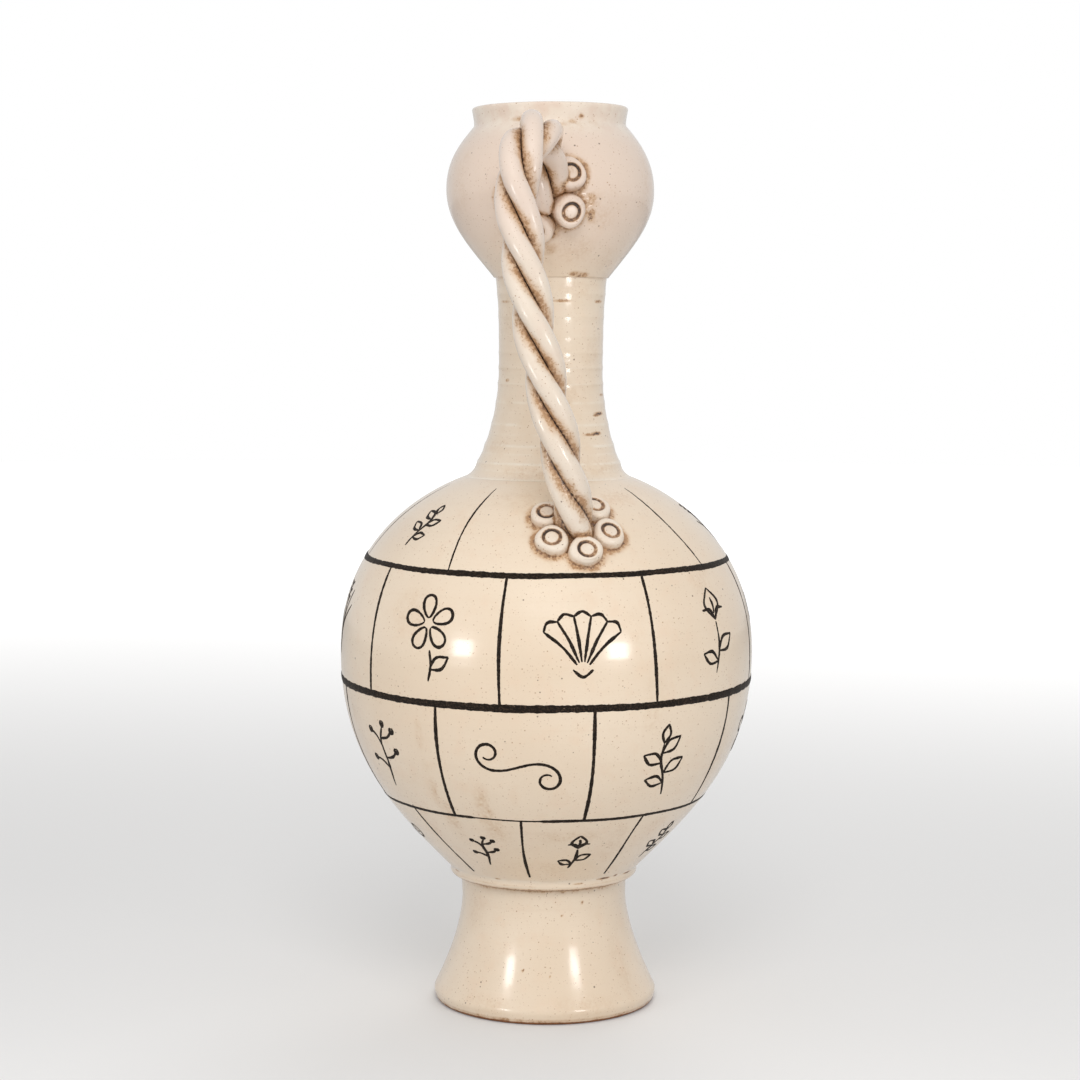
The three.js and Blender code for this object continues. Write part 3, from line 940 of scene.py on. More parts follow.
@dataclass
class Foot(ThrownSection):
    """The pedestal, glazed down to a bare, rust-coloured foot ring."""

    shape: FootShape = FootShape()
    crowding: float = 0.35
    skin: float = 2.5
    # How dark the foot is drawn under the ledge.
    under_ledge_dark: float = 0.8
    edge_stain: float = 0.62
    edge_height: float = 1.7
    marks: tuple = marked(
        (-17, 34, 0.5, 0.5, 0.9), (12, 41, 0.7, 0.5, 0.85), (22, 46.5, 0.9, 0.5, 1.1),
        (27, 46, 0.6, 0.5, 1.2), (-13, 20, 0.6, 0.6, 1.15), (3, 18, 0.5, 0.5, 1.1),
    )
    washes: tuple = marked(
        (-55, 40, 5, 7, 0.5), (-30, 6, 12, 4, 0.4), (22, 7, 14, 4, 0.45), (52, 18, 5, 14, 0.4),
        (160, 20, 14, 10, 0.5), (-100, 24, 8, 12, 0.45),
    )

    def own_stain(self, points: Points) -> np.ndarray:
        """A dark line under the ball's ledge, and a thin brown one over the bare edge."""
        top = smooth_step(points[:, 2], self.shape.height - 1.6, self.shape.height - 0.2)
        edge = self.edge_stain * bell(points[:, 2], self.edge_height, 0.9)
        return np.maximum(self.under_ledge_dark * top, edge) * self.wall.outside(points, self.skin)

    def own_bare(self, points: Points) -> np.ndarray:
        """The foot ring's bare edge and the unglazed hollow."""
        edge = 1 - smooth_step(points[:, 2], self.edge_height - 1.0, self.edge_height + 0.1)
        return np.maximum(edge, self.wall.depth(points) > self.skin)


@dataclass(frozen=True)
class BallShape:
    """The ball's sizes, as two halves that meet at the belly."""

    base_height: float = 51.4
    belly_height: float = 142.5
    seam: float = 213.2
    base: float = 38.9
    underside: float = 33.6
    belly: float = 83.1
    rise: float = 76.8
    power: float = 2.16
    ledge: float = 5.0
    drop: float = 42.8
    cone_run: float = 21.9
    cone_slope: float = 0.97
    wall: float = 5.0
    floor: float = 7.0
    bore: float = 26.6
    neck_step: float = 1.6

    def lower_outside(self) -> Profile:
        """From the rolled ledge over the foot up to the belly."""
        low, edge = self.base_height, self.base - 0.95
        top = low + self.ledge
        first, waist, start = (self.underside, low), (edge, low + 2.5), (self.base, top)
        under = cubic(first, (edge - 1.6, low), (edge + 0.1, low + 1.0), waist, 20)
        side = cubic(waist, (edge - 0.1, low + 3.7), (self.base - 0.6, top - 0.5), start, 14)
        cone = (self.base + self.cone_run * self.cone_slope, top + self.cone_run)
        belly = (self.belly, self.belly_height)
        rise = cubic(start, cone, (self.belly, self.belly_height - self.drop), belly, 90)
        return np.vstack([first, under, side, rise])

    def shoulder_radius(self, z: float) -> float:
        """The shoulder's radius at a height."""
        return self.belly * math.sqrt(1 - ((z - self.belly_height) / self.rise) ** self.power)

    def shoulder_normal(self, z: float) -> tuple[float, float]:
        """The shoulder's direction outwards at a height: its outward and upward parts."""
        share = (z - self.belly_height) / self.rise
        out = 2 * (self.shoulder_radius(z) / self.belly) / self.belly
        return out, self.power * share ** (self.power - 1) / self.rise

    def upper_outside(self) -> Profile:
        """From the belly up to the neck's seam."""
        top = math.asin(((self.seam - self.belly_height) / self.rise) ** (self.power / 2))
        angle = np.linspace(0, top, 131)
        climb = np.sin(angle) ** (2 / self.power)
        return np.stack([self.belly * np.cos(angle), self.belly_height + self.rise * climb], 1)

    def lower_profile(self) -> Profile:
        """The lower half with its inside and floor."""
        outside = self.lower_outside()
        floor = self.base_height + self.floor
        inside = offset(outside, -self.wall)
        inside = inside[inside[:, 1] > floor + self.wall][::-3]
        inside[0] = (self.belly - self.wall, self.belly_height)
        floor_edge = (self.base - self.wall - 1, floor)
        return np.vstack([(0, self.base_height), outside, inside, floor_edge, (0, floor)])

    def upper_profile(self) -> Profile:
        """The upper half with its inside."""
        outside = self.upper_outside()
        inside = offset(outside, -self.wall)[::-4]
        inside[0] = (self.bore, self.seam)
        inside[-1] = (self.belly - self.wall, self.belly_height)
        return np.vstack([outside, inside])


@dataclass
class LowerBall(ThrownSection):
    """The lower half of the ball."""

    shape: BallShape = BallShape()
    segments: int = 340
    crowding: float = 0.5
    skin: float = 2.5
    crease_height: float = 2.4
    crease_stain: float = 0.3
    # How strong the painted highlight along the ledge is.
    ledge_highlight: float = 0.5
    marks: tuple = marked(
        (-18.5, 88, 0.8, 2.4, 0.5), (-33.9, 80.5, 0.9, 2.0, 0.5), (-36.5, 95, 0.6, 1.6, 0.5),
        (-28, 56.2, 1.8, 0.5, 0.8), (21, 54.6, 2.6, 0.5, 0.9), (39, 55.7, 3.4, 0.5, 1.05),
        (48, 56.0, 1.2, 0.5, 1.15), (61, 55.6, 3.8, 0.5, 1.05), (-66, 55.4, 3.0, 0.5, 0.9),
    )
    washes: tuple = marked(
        (-20.0, 90.0, 3.4, 9.0, 0.95), (-17.0, 80.0, 4.6, 5.0, 0.85), (-34.0, 84.0, 3.4, 8.0, 0.9),
        (-37.0, 97.0, 2.4, 9.0, 0.7), (-37.0, 119.0, 1.6, 6.0, 0.75), (10, 78.0, 16.0, 3.0, 0.5),
        (29, 76, 5.0, 8.0, 0.45), (-48, 78, 4.0, 8.0, 0.6), (46, 80, 4.0, 4.0, 0.6),
        (30, 130, 5, 14, 0.35), (-70, 120, 8, 12, 0.4), (62, 100, 6, 16, 0.4),
        (0, 62, 20, 3.5, 0.4), (140, 96, 3.0, 10.0, 0.8), (214, 82, 4, 10.0, 0.8),
        (175, 74, 9, 5, 0.6),
    )

    def profile(self) -> Profile:
        """The lower half's whole profile."""
        return self.shape.lower_profile()

    def own_stain(self, points: Points) -> np.ndarray:
        """Brown flecks on the ledge and in the crease over it, and the ledge's underside drawn dark."""
        low = self.shape.base_height
        crease = self.crease_stain * bell(points[:, 2], low + self.crease_height, 0.5)
        # The ledge's underside is drawn dark all round.
        under = 1 - smooth_step(points[:, 2], low + 0.3, low + 1.9)
        return np.maximum(crease, under) * self.wall.outside(points, self.skin)

    def own_pale_and_painted_light(self, points: Points) -> np.ndarray:
        """A painted highlight along the top of the ledge."""
        ledge = self.shape.base_height + self.shape.ledge
        painted_highlight = self.ledge_highlight * bell(points[:, 2], ledge - 0.4, 0.7)
        return painted_highlight * self.wall.outside(points, self.skin)


@dataclass
class UpperBall(ThrownSection):
    """The upper half of the ball, where the handle lands."""

    shape: BallShape = BallShape()
    segments: int = 400
    crowding: float = 0.72
    seam_stain: float = 0.16
    seam_reach: float = 1.8
    washes: tuple = marked(
        (9, 186, 13, 3.5, 0.6), (-40, 165, 9, 10, 0.4), (52, 176, 7, 7, 0.45),
        (24, 160, 4, 9, 0.3), (-14, 207, 9, 3, 0.6), (34, 207, 10, 3, 0.6),
        (150, 176, 12, 9, 0.5), (-120, 190, 9, 8, 0.5),
    )

    def profile(self) -> Profile:
        """The upper half's whole profile."""
        return self.shape.upper_profile()

    def own_stain(self, points: Points) -> np.ndarray:
        """A thin brown line under the neck."""
        seam = self.shape.seam
        return self.seam_stain * smooth_step(points[:, 2], seam - self.seam_reach, seam)


@dataclass(frozen=True)
class NeckShape:
    """The neck's sizes, with the rings that the thrower's fingers left."""

    seam: float = 213.2
    length: float = 79.3
    base: float = 32.02
    fillet: float = 1.5
    fillet_height: float = 3.2
    waist: float = 21.0
    top: float = 22.4
    flare_length: float = 47.4
    straight: float = 6.0
    power: float = 2.4
    pitch: float = 7.0
    depth: float = 0.4
    high_share: float = 0.3
    low_share: float = 0.55
    drift_share: float = 0.13
    fine_share: float = 0.2
    deep_height: float = 56.0
    wall: float = 4.2

    def turns(self, height: np.ndarray) -> np.ndarray:
        """The wheel's turns at heights above the seam: a whole number on each ring's edge."""
        return height / self.length * round(self.length / self.pitch) + 0.2 * np.sin(height / 7.3)

    def radius(self, height: np.ndarray) -> np.ndarray:
        """The radius at heights above the seam, before the rings."""
        low = np.clip(1 - height / self.flare_length, 0, 1)
        waist_top = self.flare_length + self.straight
        high = np.clip((height - waist_top) / (self.length - waist_top), 0, 1)
        foot = self.fillet * np.clip(1 - height / self.fillet_height, 0, 1) ** 2
        flare = (self.base - self.waist) * low**self.power
        return self.waist + flare + foot + (self.top - self.waist) * high**2

    def outside(self) -> Profile:
        """The outer profile: shallow hollows between narrow rings, deepest low down."""
        height = np.linspace(0, self.length, 16 * round(self.length / self.pitch) + 1)
        turn = self.turns(height)
        hollow = np.abs(np.sin(np.pi * turn)) ** 0.75
        fine = np.abs(np.sin(TAU * turn + 0.7 * np.sin(height / 4))) ** 0.6
        low = np.clip(1 - height / self.deep_height, 0, 1)
        drift = self.drift_share * np.sin(height / 5.1)
        wide_cut = (self.high_share + self.low_share * low + drift) * hollow
        fine_cut = self.fine_share * (self.high_share + low) * fine
        cut = self.depth * (wide_cut + fine_cut)
        return np.stack([self.radius(height) - cut, self.seam + height], 1)

    def profile(self) -> Profile:
        """The outer profile and the bore."""
        height = np.linspace(self.length, 0, 40)
        bore = np.stack([self.radius(height) - self.wall, self.seam + height], 1)
        return np.vstack([self.outside(), bore])


@dataclass
class Neck(ThrownSection):
    """The ringed neck."""

    shape: NeckShape = NeckShape()
    segments: int = 220
    crowding: float = 0.3
    seam_stain: float = 0.16
    top_stain: float = 0.3
    # The strength of the painted ring highlights high up.
    ring_highlight_high: float = 0.25
    hollow_pale: float = 0.6
    # The painted light that brightens the whole neck.
    least_painted_light: float = 0.2
    pale_height: float = 50.0
    marks: tuple = marked(
        (60, 238.9, 3.8, 0.9, 1.06), (54, 238.2, 2.4, 0.6, 0.95), (45.0, 230.8, 5.6, 0.65, 0.95),
        (50, 231.2, 3.4, 0.9, 1.08), (71.5, 246.2, 3.0, 0.7, 0.85), (12.2, 283.3, 5.0, 0.7, 0.75),
        (62, 283.2, 4.0, 0.8, 0.85), (-60, 283.0, 4.0, 0.7, 0.65), (150, 236, 4.5, 0.7, 1.0),
        (205, 270, 4.0, 0.6, 0.8), (-55, 252, 1.4, 0.8, 0.7),
    )
    washes: tuple = marked(
        (-10, 216, 16, 3, 0.5), (40, 218, 14, 3, 0.5), (-50, 226, 8, 3, 0.45),
        (20, 247, 9, 5, 0.4), (52, 262, 5, 9, 0.35), (-45, 274, 7, 5, 0.35),
        (30, 288, 9, 3, 0.5), (180, 240, 12, 12, 0.5),
    )

    def own_stain(self, points: Points) -> np.ndarray:
        """A faint brown line at each end."""
        height = points[:, 2] - self.shape.seam
        seam = self.seam_stain * bell(height, 0.0, 1.4)
        top = self.top_stain * bell(height, self.shape.length, 0.7)
        return (seam + top) * self.wall.outside(points)

    def own_pale_and_painted_light(self, points: Points) -> np.ndarray:
        """Painted ring highlights and pale hollow lines, strongest low down, over painted light."""
        height = points[:, 2] - self.shape.seam
        turn, pitch = self.shape.turns(height), self.shape.pitch
        ring_highlight = bell((turn - np.round(turn)) * pitch, 0.0, 0.6)
        between = bell((turn + 0.45 - np.round(turn + 0.45)) * pitch, 0.0, 0.45)
        low = np.clip(1 - height / self.pale_height, 0, 1)
        ring_highlight *= self.ring_highlight_high + (1 - self.ring_highlight_high) * low
        lines = np.maximum(ring_highlight, self.hollow_pale * low * between)
        return np.maximum(lines, self.least_painted_light) * self.wall.outside(points)


@dataclass(frozen=True)
class MouthShape:
    """The garlic-bulb mouth's sizes."""

    seam: float = 292.5
    widest: float = 327.1
    collar_height: float = 352.5
    top: float = 360.0
    base: float = 23.2
    bulb: float = 41.5
    collar: float = 30.5
    drop: float = 13.2
    cone_run: float = 12.0
    cone_slope: float = 0.77
    rise: float = 12.0
    collar_run: float = 6.0
    collar_slope: float = 0.85
    overhang: float = 0.6
    lip_round: float = 1.0
    inner_round: float = 1.1
    wall: float = 4.2
    neck_bore: float = 18.2

    def outside(self) -> Profile:
        """The outer profile: bulb, collar and rounded lip."""
        widest = (self.bulb, self.widest)
        collar = (self.collar, self.collar_height)
        cone = (self.base + self.cone_run * self.cone_slope, self.seam + self.cone_run)
        out, run = self.collar_run * self.collar_slope, self.collar_run
        under = (self.collar + out, self.collar_height - run)
        steps = ((-0.8, 0.0), (-0.35, 0.1), (-0.05, 0.3), (0.1, 0.6))
        bead = [(self.base + aside, self.seam + up) for aside, up in steps]
        lower = cubic(bead[-1], cone, (self.bulb, self.widest - self.drop), widest, 80)
        upper = cubic(widest, (self.bulb, self.widest + self.rise), under, collar, 56)
        lip = self.collar + self.overhang
        edge = self.top - self.lip_round
        throat = (self.collar - 0.5, self.collar_height + 0.7)
        root = cubic(collar, throat, (self.collar, edge - 3), (lip, edge), 7)
        angle = np.radians(np.linspace(12, 90, 7))
        bend = np.stack([np.cos(angle) - 1, np.sin(angle)], 1)
        return np.vstack([bead, lower, upper, root, (lip, edge) + self.lip_round * bend])

    def profile(self) -> Profile:
        """The outer profile, the lip's inner round and the inside."""
        outside = self.outside()
        inner_lip = self.collar + self.overhang - self.wall
        angle = np.radians(np.linspace(90, 180, 6))
        bend = np.stack([np.cos(angle) + 1, np.sin(angle) - 1], 1)
        rim = (inner_lip, self.top) + self.inner_round * bend
        inside = offset(outside[:-9], -self.wall)[::-4]
        inside = inside[inside[:, 1] < self.top - 2.5]
        inside[-1] = (self.neck_bore, self.seam)
        return np.vstack([outside, rim, inside])


@dataclass
class Mouth(ThrownSection):
    """The garlic-bulb mouth, which the handle grows from."""

    shape: MouthShape = MouthShape()
    segments: int = 360
    crowding: float = 0.72
    seam_stain: float = 0.36
    # How strong the painted light on the collar and lip is.
    collar_painted_light: float = 0.6
    collar_reach: float = 8.0
    # The marks at 21.6 and 23.2 degrees are brown stain with painted shade right of the flower.
    marks: tuple = marked(
        (29.3, 293.3, 3.6, 1.5, 0.85), (22.7, 293.8, 3.0, 1.3, 0.8), (23.6, 354.3, 1.4, 1.0, 0.95),
        (-22.8, 353.1, 4.0, 1.3, 0.72), (21.6, 321.5, 2.8, 3.6, 0.72), (23.2, 315.6, 2.2, 3.0, 0.92),
        (-1, 303, 4.0, 3.0, 0.5), (-16, 303, 5.0, 2.6, 0.5), (16, 352, 2.0, 1.0, 0.6),
        (8, 351, 3.0, 1.0, 0.55), (170, 320, 3.0, 4.0, 0.6), (215, 352, 3.0, 1.2, 0.7),
    )
    washes: tuple = marked(
        (10, 303, 14, 5, 0.6), (-25, 307, 9, 6, 0.5), (30, 318, 9, 8, 0.55),
        (45, 300, 9, 4, 0.4), (20, 351, 12, 3, 0.5), (-60, 330, 6, 14, 0.4),
        (66, 330, 6, 14, 0.4), (190, 330, 16, 14, 0.5),
    )

    def own_stain(self, points: Points) -> np.ndarray:
        """A faint broken brown line along the seam."""
        seam = self.seam_stain * bell(points[:, 2], self.shape.seam, 0.7)
        return seam * self.wall.outside(points)

    def own_pale_and_painted_light(self, points: Points) -> np.ndarray:
        """Painted light that brightens the collar and lip."""
        collar = self.shape.collar_height
        return self.collar_painted_light * smooth_step(points[:, 2], collar - self.collar_reach, collar)


@dataclass(frozen=True)
class RopeShape:
    """The twisted handle's sizes: its middle line, its three coils and their lay.

    Headings are given by their parts to the right, to the front and up. A coil's rolling is rows
    of depth, length and shift from coil to coil.
    """

    ball: BallShape = BallShape()
    mouth: MouthShape = MouthShape()
    coils: int = 3
    radius_top: float = 4.05
    radius_low: float = 3.38
    high_end: float = 3.3
    low_end: float = 2.8
    end_run: float = 10.0
    spread: float = 1.31
    pressed_spread: float = 1.225
    pressed_radius: float = 1.09
    lay: float = 73.8
    lay_start: float = 58.0
    lay_drift: float = 13.0
    low_spread: float = 1.0
    pressed_from: float = 0.6
    pressed_to: float = 0.97
    rolling: tuple = ((0.022, 7.3, 2.1), (0.014, 3.1, 1.0))
    steps: int = 300
    knob: tuple = (8.6, -52.0, 349.0)
    top_rise: float = 18.0
    top_standoff: float = 18.2
    crest_standoff: float = 15.12
    crest_drop: float = 19.0
    high_seat_drop: float = 3.6
    high_seat_side: float = -2.6
    top_side: float = -4.6
    crest_side: float = -12.0
    low_seat_drop: float = 15.9
    low_seat_side: float = 11.0
    seat_depth: float = 5.0
    takeoff_heading: tuple = (0.14, 1, 0.5)
    top_heading: tuple = (-0.3, 1, 0)
    crest_heading: tuple = (-0.04, 0, 1)
    landing_heading: tuple = (-0.18, 0.68, 1)
    hidden_end: float = 1.6
    takeoff_run: float = 11.6
    top_run_in: float = 15.4
    top_run_out: float = 10.4
    crest_run: float = 7.9
    fall_run: float = 43.0
    landing_run: float = 45.0

    @property
    def low_seat(self) -> float:
        """The height of the handle's foot on the shoulder."""
        return self.ball.seam - self.low_seat_drop

    @property
    def high_seat(self) -> float:
        """The height of the handle's start on the bulb."""
        return self.mouth.widest - self.high_seat_drop

    def middle_line(self) -> Points:
        """The rope's middle line: out of the bulb, over its crest and down to the shoulder."""
        def at(side: float, out: float, z: float) -> Points:
            """A place or a direction by its parts to the right, to the front and up."""
            return np.array([side, -out, z], float)

        over_top, plumb = at(*self.top_heading), at(*self.crest_heading)
        takeoff, landing = at(*self.takeoff_heading), at(*self.landing_heading)
        takeoff, landing = takeoff / np.linalg.norm(takeoff), landing / np.linalg.norm(landing)
        top_z = self.mouth.widest + self.top_rise
        seat_radius = self.ball.shoulder_radius(self.low_seat)
        start = at(self.high_seat_side, self.mouth.bulb, self.high_seat) - takeoff * self.seat_depth
        top = at(self.top_side, self.mouth.bulb + self.top_standoff, top_z)
        crest = at(self.crest_side, seat_radius + self.crest_standoff, top_z - self.crest_drop)
        end = at(self.low_seat_side, seat_radius, self.low_seat) - landing * self.seat_depth
        leave, arrive = start + takeoff * self.takeoff_run, top - over_top * self.top_run_in
        rise = cubic(start, leave, arrive, top, 400)
        leave, arrive = top + over_top * self.top_run_out, crest + plumb * self.crest_run
        turn = cubic(top, leave, arrive, crest, 400)
        leave, arrive = crest - plumb * self.fall_run, end + landing * self.landing_run
        fall = cubic(crest, leave, arrive, end, 800)
        return np.vstack([start, rise, turn, fall])

    def courses(self) -> list[Course]:
        """The three coils' middle lines, pressed against each other."""
        line = self.middle_line()
        run = np.concatenate([[0], np.cumsum(np.linalg.norm(np.diff(line, axis=0), axis=1))])
        length = run[-1]
        at = np.linspace(self.hidden_end, length - self.hidden_end, self.steps)

        def on_line(distance: np.ndarray) -> Points:
            """The middle line's points at distances along it."""
            return np.stack([np.interp(distance, run, line[:, i]) for i in range(3)], 1)

        place = on_line(at)
        along = on_line(at + 0.4) - on_line(at - 0.4)
        along /= np.linalg.norm(along, axis=1, keepdims=True)
        across = np.array([1.0, 0, 0]) - along * along[:, :1]
        across /= np.linalg.norm(across, axis=1, keepdims=True)
        over = np.cross(along, across)
        share = at / length
        body = self.radius_top + (self.radius_low - self.radius_top) * share
        end = np.where(share < 0.5, self.high_end, self.low_end)
        from_end = np.minimum(at, length - at)
        radius = end + (body - end) * np.sin(math.pi / 2 * np.minimum(from_end / self.end_run, 1))
        pressed = smooth_step(share, self.pressed_from, self.pressed_to)
        spread = self.pressed_spread + (self.low_spread - self.pressed_spread) * pressed
        girth = self.pressed_radius + self.pressed_spread - spread
        laid = math.radians(self.lay_start) - math.radians(self.lay_drift) * np.sin(math.pi * share)
        found = []
        for number in range(self.coils):
            angle = laid + TAU * (number / self.coils - at / self.lay)
            arm = (radius * spread)[:, None]
            centre = place + arm * (np.cos(angle)[:, None] * across + np.sin(angle)[:, None] * over)
            rolled = 1 + sum(
                depth * np.sin(at / span + shift * number) for depth, span, shift in self.rolling
            )
            found.append(Course(centre, radius * girth * rolled))
        return found


@dataclass
class RopeHandle:
    """The three rolled coils."""

    shape: RopeShape
    wall: Wall
    step: float = 0.5
    sides: int = 36
    unevenness: float = 0.34
    dent_size: float = 6.0
    groove_stain: float = 1.12
    groove_reach: float = 1.25
    flank_stain: float = 0.86
    flank_reach: float = 6.4
    contact_stain: float = 0.85
    boss_reach: float = 3.0
    wall_reach: float = 4.5
    knob_core: float = 1.0
    knob_reach: float = 5.5

    def build(self, finish: Material, courses: list[Course], bosses: list[Stamped]) -> None:
        """Rolls, stains and glazes the coils.

        Args:
            finish: Their glaze.
            courses: Their middle lines and radii.
            bosses: The bosses that are pressed against them.
        """
        tree = coil_tree()
        for number, course in enumerate(courses, 1):
            count = len(course.points)
            edges = [(i, i + 1) for i in range(count - 1)]
            piece = new_piece(f"rolled_coil_{number}", course.points, [], edges)
            put_number(piece, "coil_radius", course.radii * MM)
            values = {
                "Step": self.step * MM, "Sides": self.sides, "Unevenness": self.unevenness * MM,
                "Dent Size": self.dent_size * MM, "Seed": 3.7 * number, "Finish": finish,
            }
            grow(piece, tree, values)
            points = points_of(piece)
            others = [c for c in courses if c is not course]
            knob = np.linalg.norm(points - self.shape.knob, axis=1)
            contact = np.maximum.reduce([
                1 - smooth_step(knob, self.knob_core, self.knob_reach),
                crevice(points, bosses, self.boss_reach),
                smooth_step(self.wall.depth(points), -self.wall_reach, 0.0),
            ])
            stain = np.maximum.reduce([
                self.groove_stain * crevice(points, others, self.groove_reach),
                self.flank_stain * crevice(points, others, self.flank_reach),
                self.contact_stain * contact,
            ])
            glaze(piece, finish, stain=stain, bare=np.zeros(len(points)))
            carry(piece, Slot.ROPE, f"rope_coil_{number}")


@dataclass(frozen=True)
class FlowerShape:
    """One ring of stamped bosses: where it sits, how its bosses stand and how each is stamped.

    The side's rings are rows of the share of the way up, the flare and the stain.
    """

    node: str
    ring: float
    tilt: float
    turn: float
    gap: float
    count: int = 5
    radius: float = 6.45
    height: float = 2.7
    edge: float = 1.9
    edge_steps: int = 8
    foot_flare: float = 0.5
    side: tuple = ((0.2, 0.22, 0.85), (0.45, 0.08, 0.55), (0.75, 0.02, 0.3))
    stamp_outer: float = 3.85
    stamp_inner: float = 2.6
    stamp_depth: float = 0.8
    stamp_margin: float = 0.6
    pressed_in: tuple = (0.0, 0.0, 0.0, 0.0, 0.0)

    def edge_rings(self) -> list[tuple[float, float, float]]:
        """The rounded edge's rings: the radius, the height and how stained each is."""
        found = []
        for bend in np.radians(np.linspace(0, 90, self.edge_steps)):
            radius = self.radius - self.edge * (1 - math.cos(bend))
            height = self.height - self.edge * (1 - math.sin(bend))
            found.append((radius, height, 0.34 - 0.14 * math.sin(bend)))
        return found

    def stamp_rings(self) -> list[tuple[float, float, float]]:
        """The stamp's rings from its outside in: the radius, the height and how stained each is."""
        top, outer, inner = self.height, self.stamp_outer, self.stamp_inner
        low = top - self.stamp_depth * 0.85
        return [
            (outer + 0.5, top - 0.02, 0.2), (outer + 0.14, top - 0.12, 0.4),
            (outer - 0.04, top - 0.34, 0.9), (outer - 0.18, low, 1.0),
            ((outer + inner) / 2, top - self.stamp_depth, 1.04), (inner + 0.16, low, 1.0),
            (inner + 0.02, top - 0.42, 0.86), (inner - 0.14, top - 0.24, 0.5),
            (inner - 0.45, top - 0.18, 0.34), (inner * 0.4, top - 0.16, 0.3),
        ]


@dataclass
class Flower:
    """The bosses pressed on round one end of the handle."""

    shape: FlowerShape
    wall: Wall
    seat: Points
    outward: Points
    seed: int
    segments: int = 72
    wobble: tuple = ((0.015, 0.015, 0.008), (0.05, 0.045, 0.02))
    shrink: float = 0.03
    slip: float = 0.35
    lean: float = 0.05
    search_steps: int = 24
    coil_stain: float = 0.9
    coil_reach: float = 1.3
    boss_stain: float = 0.8
    boss_reach: float = 1.0

    def stands(self) -> list[Stamped]:
        """Where each boss stands."""
        across = np.cross([0.0, 0, 1], self.outward)
        across /= np.linalg.norm(across)
        rise = np.cross(self.outward, across)
        tilt = math.radians(self.shape.tilt)
        found = []
        for i in range(self.shape.count):
            spread = (360 - self.shape.gap) * i / (self.shape.count - 1)
            angle = math.radians(self.shape.turn + spread)
            spoke = math.cos(angle) * across + math.sin(angle) * rise
            axis = math.cos(tilt) * self.outward + math.sin(tilt) * spoke
            middle = self.seat + spoke * (self.shape.ring - self.shape.pressed_in[i])
            found.append(Stamped(middle, axis, self.shape.radius, self.shape.height))
        return found

    def pressed(self, name: str, stand: Stamped, luck: np.random.Generator) -> tuple:
        """One boss, with its sides drawn down into the wall.

        Args:
            name: The piece's name.
            stand: Where the boss stands.
            luck: Gives the boss its own outline and the stamp its slip off the middle.

        Returns:
            The piece, and its vertices' stain from the stamp, painted darker on one side as shade.
        """
        s = self.shape
        turn = np.array(Vector((0, 0, 1)).rotation_difference(Vector(stand.axis)).to_matrix())
        angle = np.linspace(0, TAU, self.segments, endpoint=False)
        flat = np.stack([np.cos(angle), np.sin(angle)], 1)
        phase = luck.uniform(0, TAU, 3)
        size = luck.uniform(*self.wobble)
        waves = sum(size[i] * np.cos((i + 2) * angle + phase[i]) for i in range(3))
        outline = 1 + waves - self.shrink
        slip = luck.uniform(-self.slip, self.slip, 2)
        lean = luck.uniform(-self.lean, self.lean, 2)

        def world(radius: float, z: object, hold: float) -> Points:
            """Points of one ring.

            Args:
                radius: The ring's radius.
                z: Its height over the boss's middle, for all its points or for each.
                hold: 1 where it follows the boss's outline and 0 where it follows the stamp.

            Returns:
                The points, one a row.
            """
            around = flat * (radius * (hold * outline + 1 - hold))[:, None] + slip * (1 - hold)
            tipped = z + (around @ lean) * (1 - hold)
            return stand.middle + np.concatenate([around, tipped[:, None]], 1) @ turn.T

        side_top = s.height - s.edge
        low, high = np.full(self.segments, -ROOT), np.full(self.segments, side_top)
        for _ in range(self.search_steps):
            half = (low + high) / 2
            inside = self.wall.depth(world(s.radius + s.foot_flare, half, 1.0)) > 0.5
            low, high = np.where(inside, half, low), np.where(inside, high, half)
        layers, stains = [world(s.radius + s.foot_flare, low, 1.0)], [1.0]
        for share, flare, stain in s.side:
            layers.append(world(s.radius + flare, low + (side_top - low) * share, 1.0))
            stains.append(stain)
        margin = s.stamp_margin
        for radius, z, stain in s.edge_rings() + s.stamp_rings():
            hold = float(smooth_step(radius, s.stamp_outer + margin, s.radius - margin))
            layers.append(world(radius, z, hold))
            stains.append(stain)
        low_tip, top_tip = (layers[i].mean(0, keepdims=True) for i in (0, -1))
        piece = lofted(name, [low_tip, *layers, top_tip])
        smooth(piece, 60)
        # The stamp is painted darker on one side, as painted shade.
        painted_groove_shade = 0.95 + 0.09 * np.cos(angle - luck.uniform(0, TAU))
        stain = np.outer(stains, np.ones(self.segments))
        stain[-len(s.stamp_rings()):] *= painted_groove_shade
        return piece, np.concatenate([[1.0], stain.ravel(), [0.3]])

    def build(self, finish: Material, courses: list[Course]) -> None:
        """Stamps, stains and glazes the bosses.

        Args:
            finish: Their glaze.
            courses: The coils that the bosses are pressed against.
        """
        luck = np.random.default_rng(self.seed)
        stands = self.stands()
        for number, stand in enumerate(stands, 1):
            node = f"{self.shape.node}_{number}"
            piece, stain = self.pressed(f"stamped_{node}", stand, luck)
            others = [s for s in stands if s is not stand]
            points = points_of(piece)
            stain = np.maximum(stain, self.coil_stain * crevice(points, courses, self.coil_reach))
            stain = np.maximum(stain, self.boss_stain * crevice(points, others, self.boss_reach))
            glaze(piece, finish, stain=stain, bare=np.zeros(len(points)))
            carry(piece, Slot.BOSS, node)


def turned_by(line: Points, degrees: float) -> Points:
    """A flat line turned about its origin."""
    a = math.radians(degrees)
    return line @ np.array([[math.cos(a), math.sin(a)], [-math.sin(a), math.cos(a)]])


def bowed(start: tuple, end: tuple, bulge: float) -> Points:
    """A bowed line between two places, which bulges by a share of its length to the left."""
    a, b = np.array(start, float), np.array(end, float)
    aside = np.array([a[1] - b[1], b[0] - a[0]]) * bulge
    return through([a, (a + b) / 2 + aside, b], 12)


def leaf(start: tuple, end: tuple, width: float = 0.24) -> list[Points]:
    """A leaf's two sides."""
    return [bowed(start, end, width), bowed(start, end, -width)]


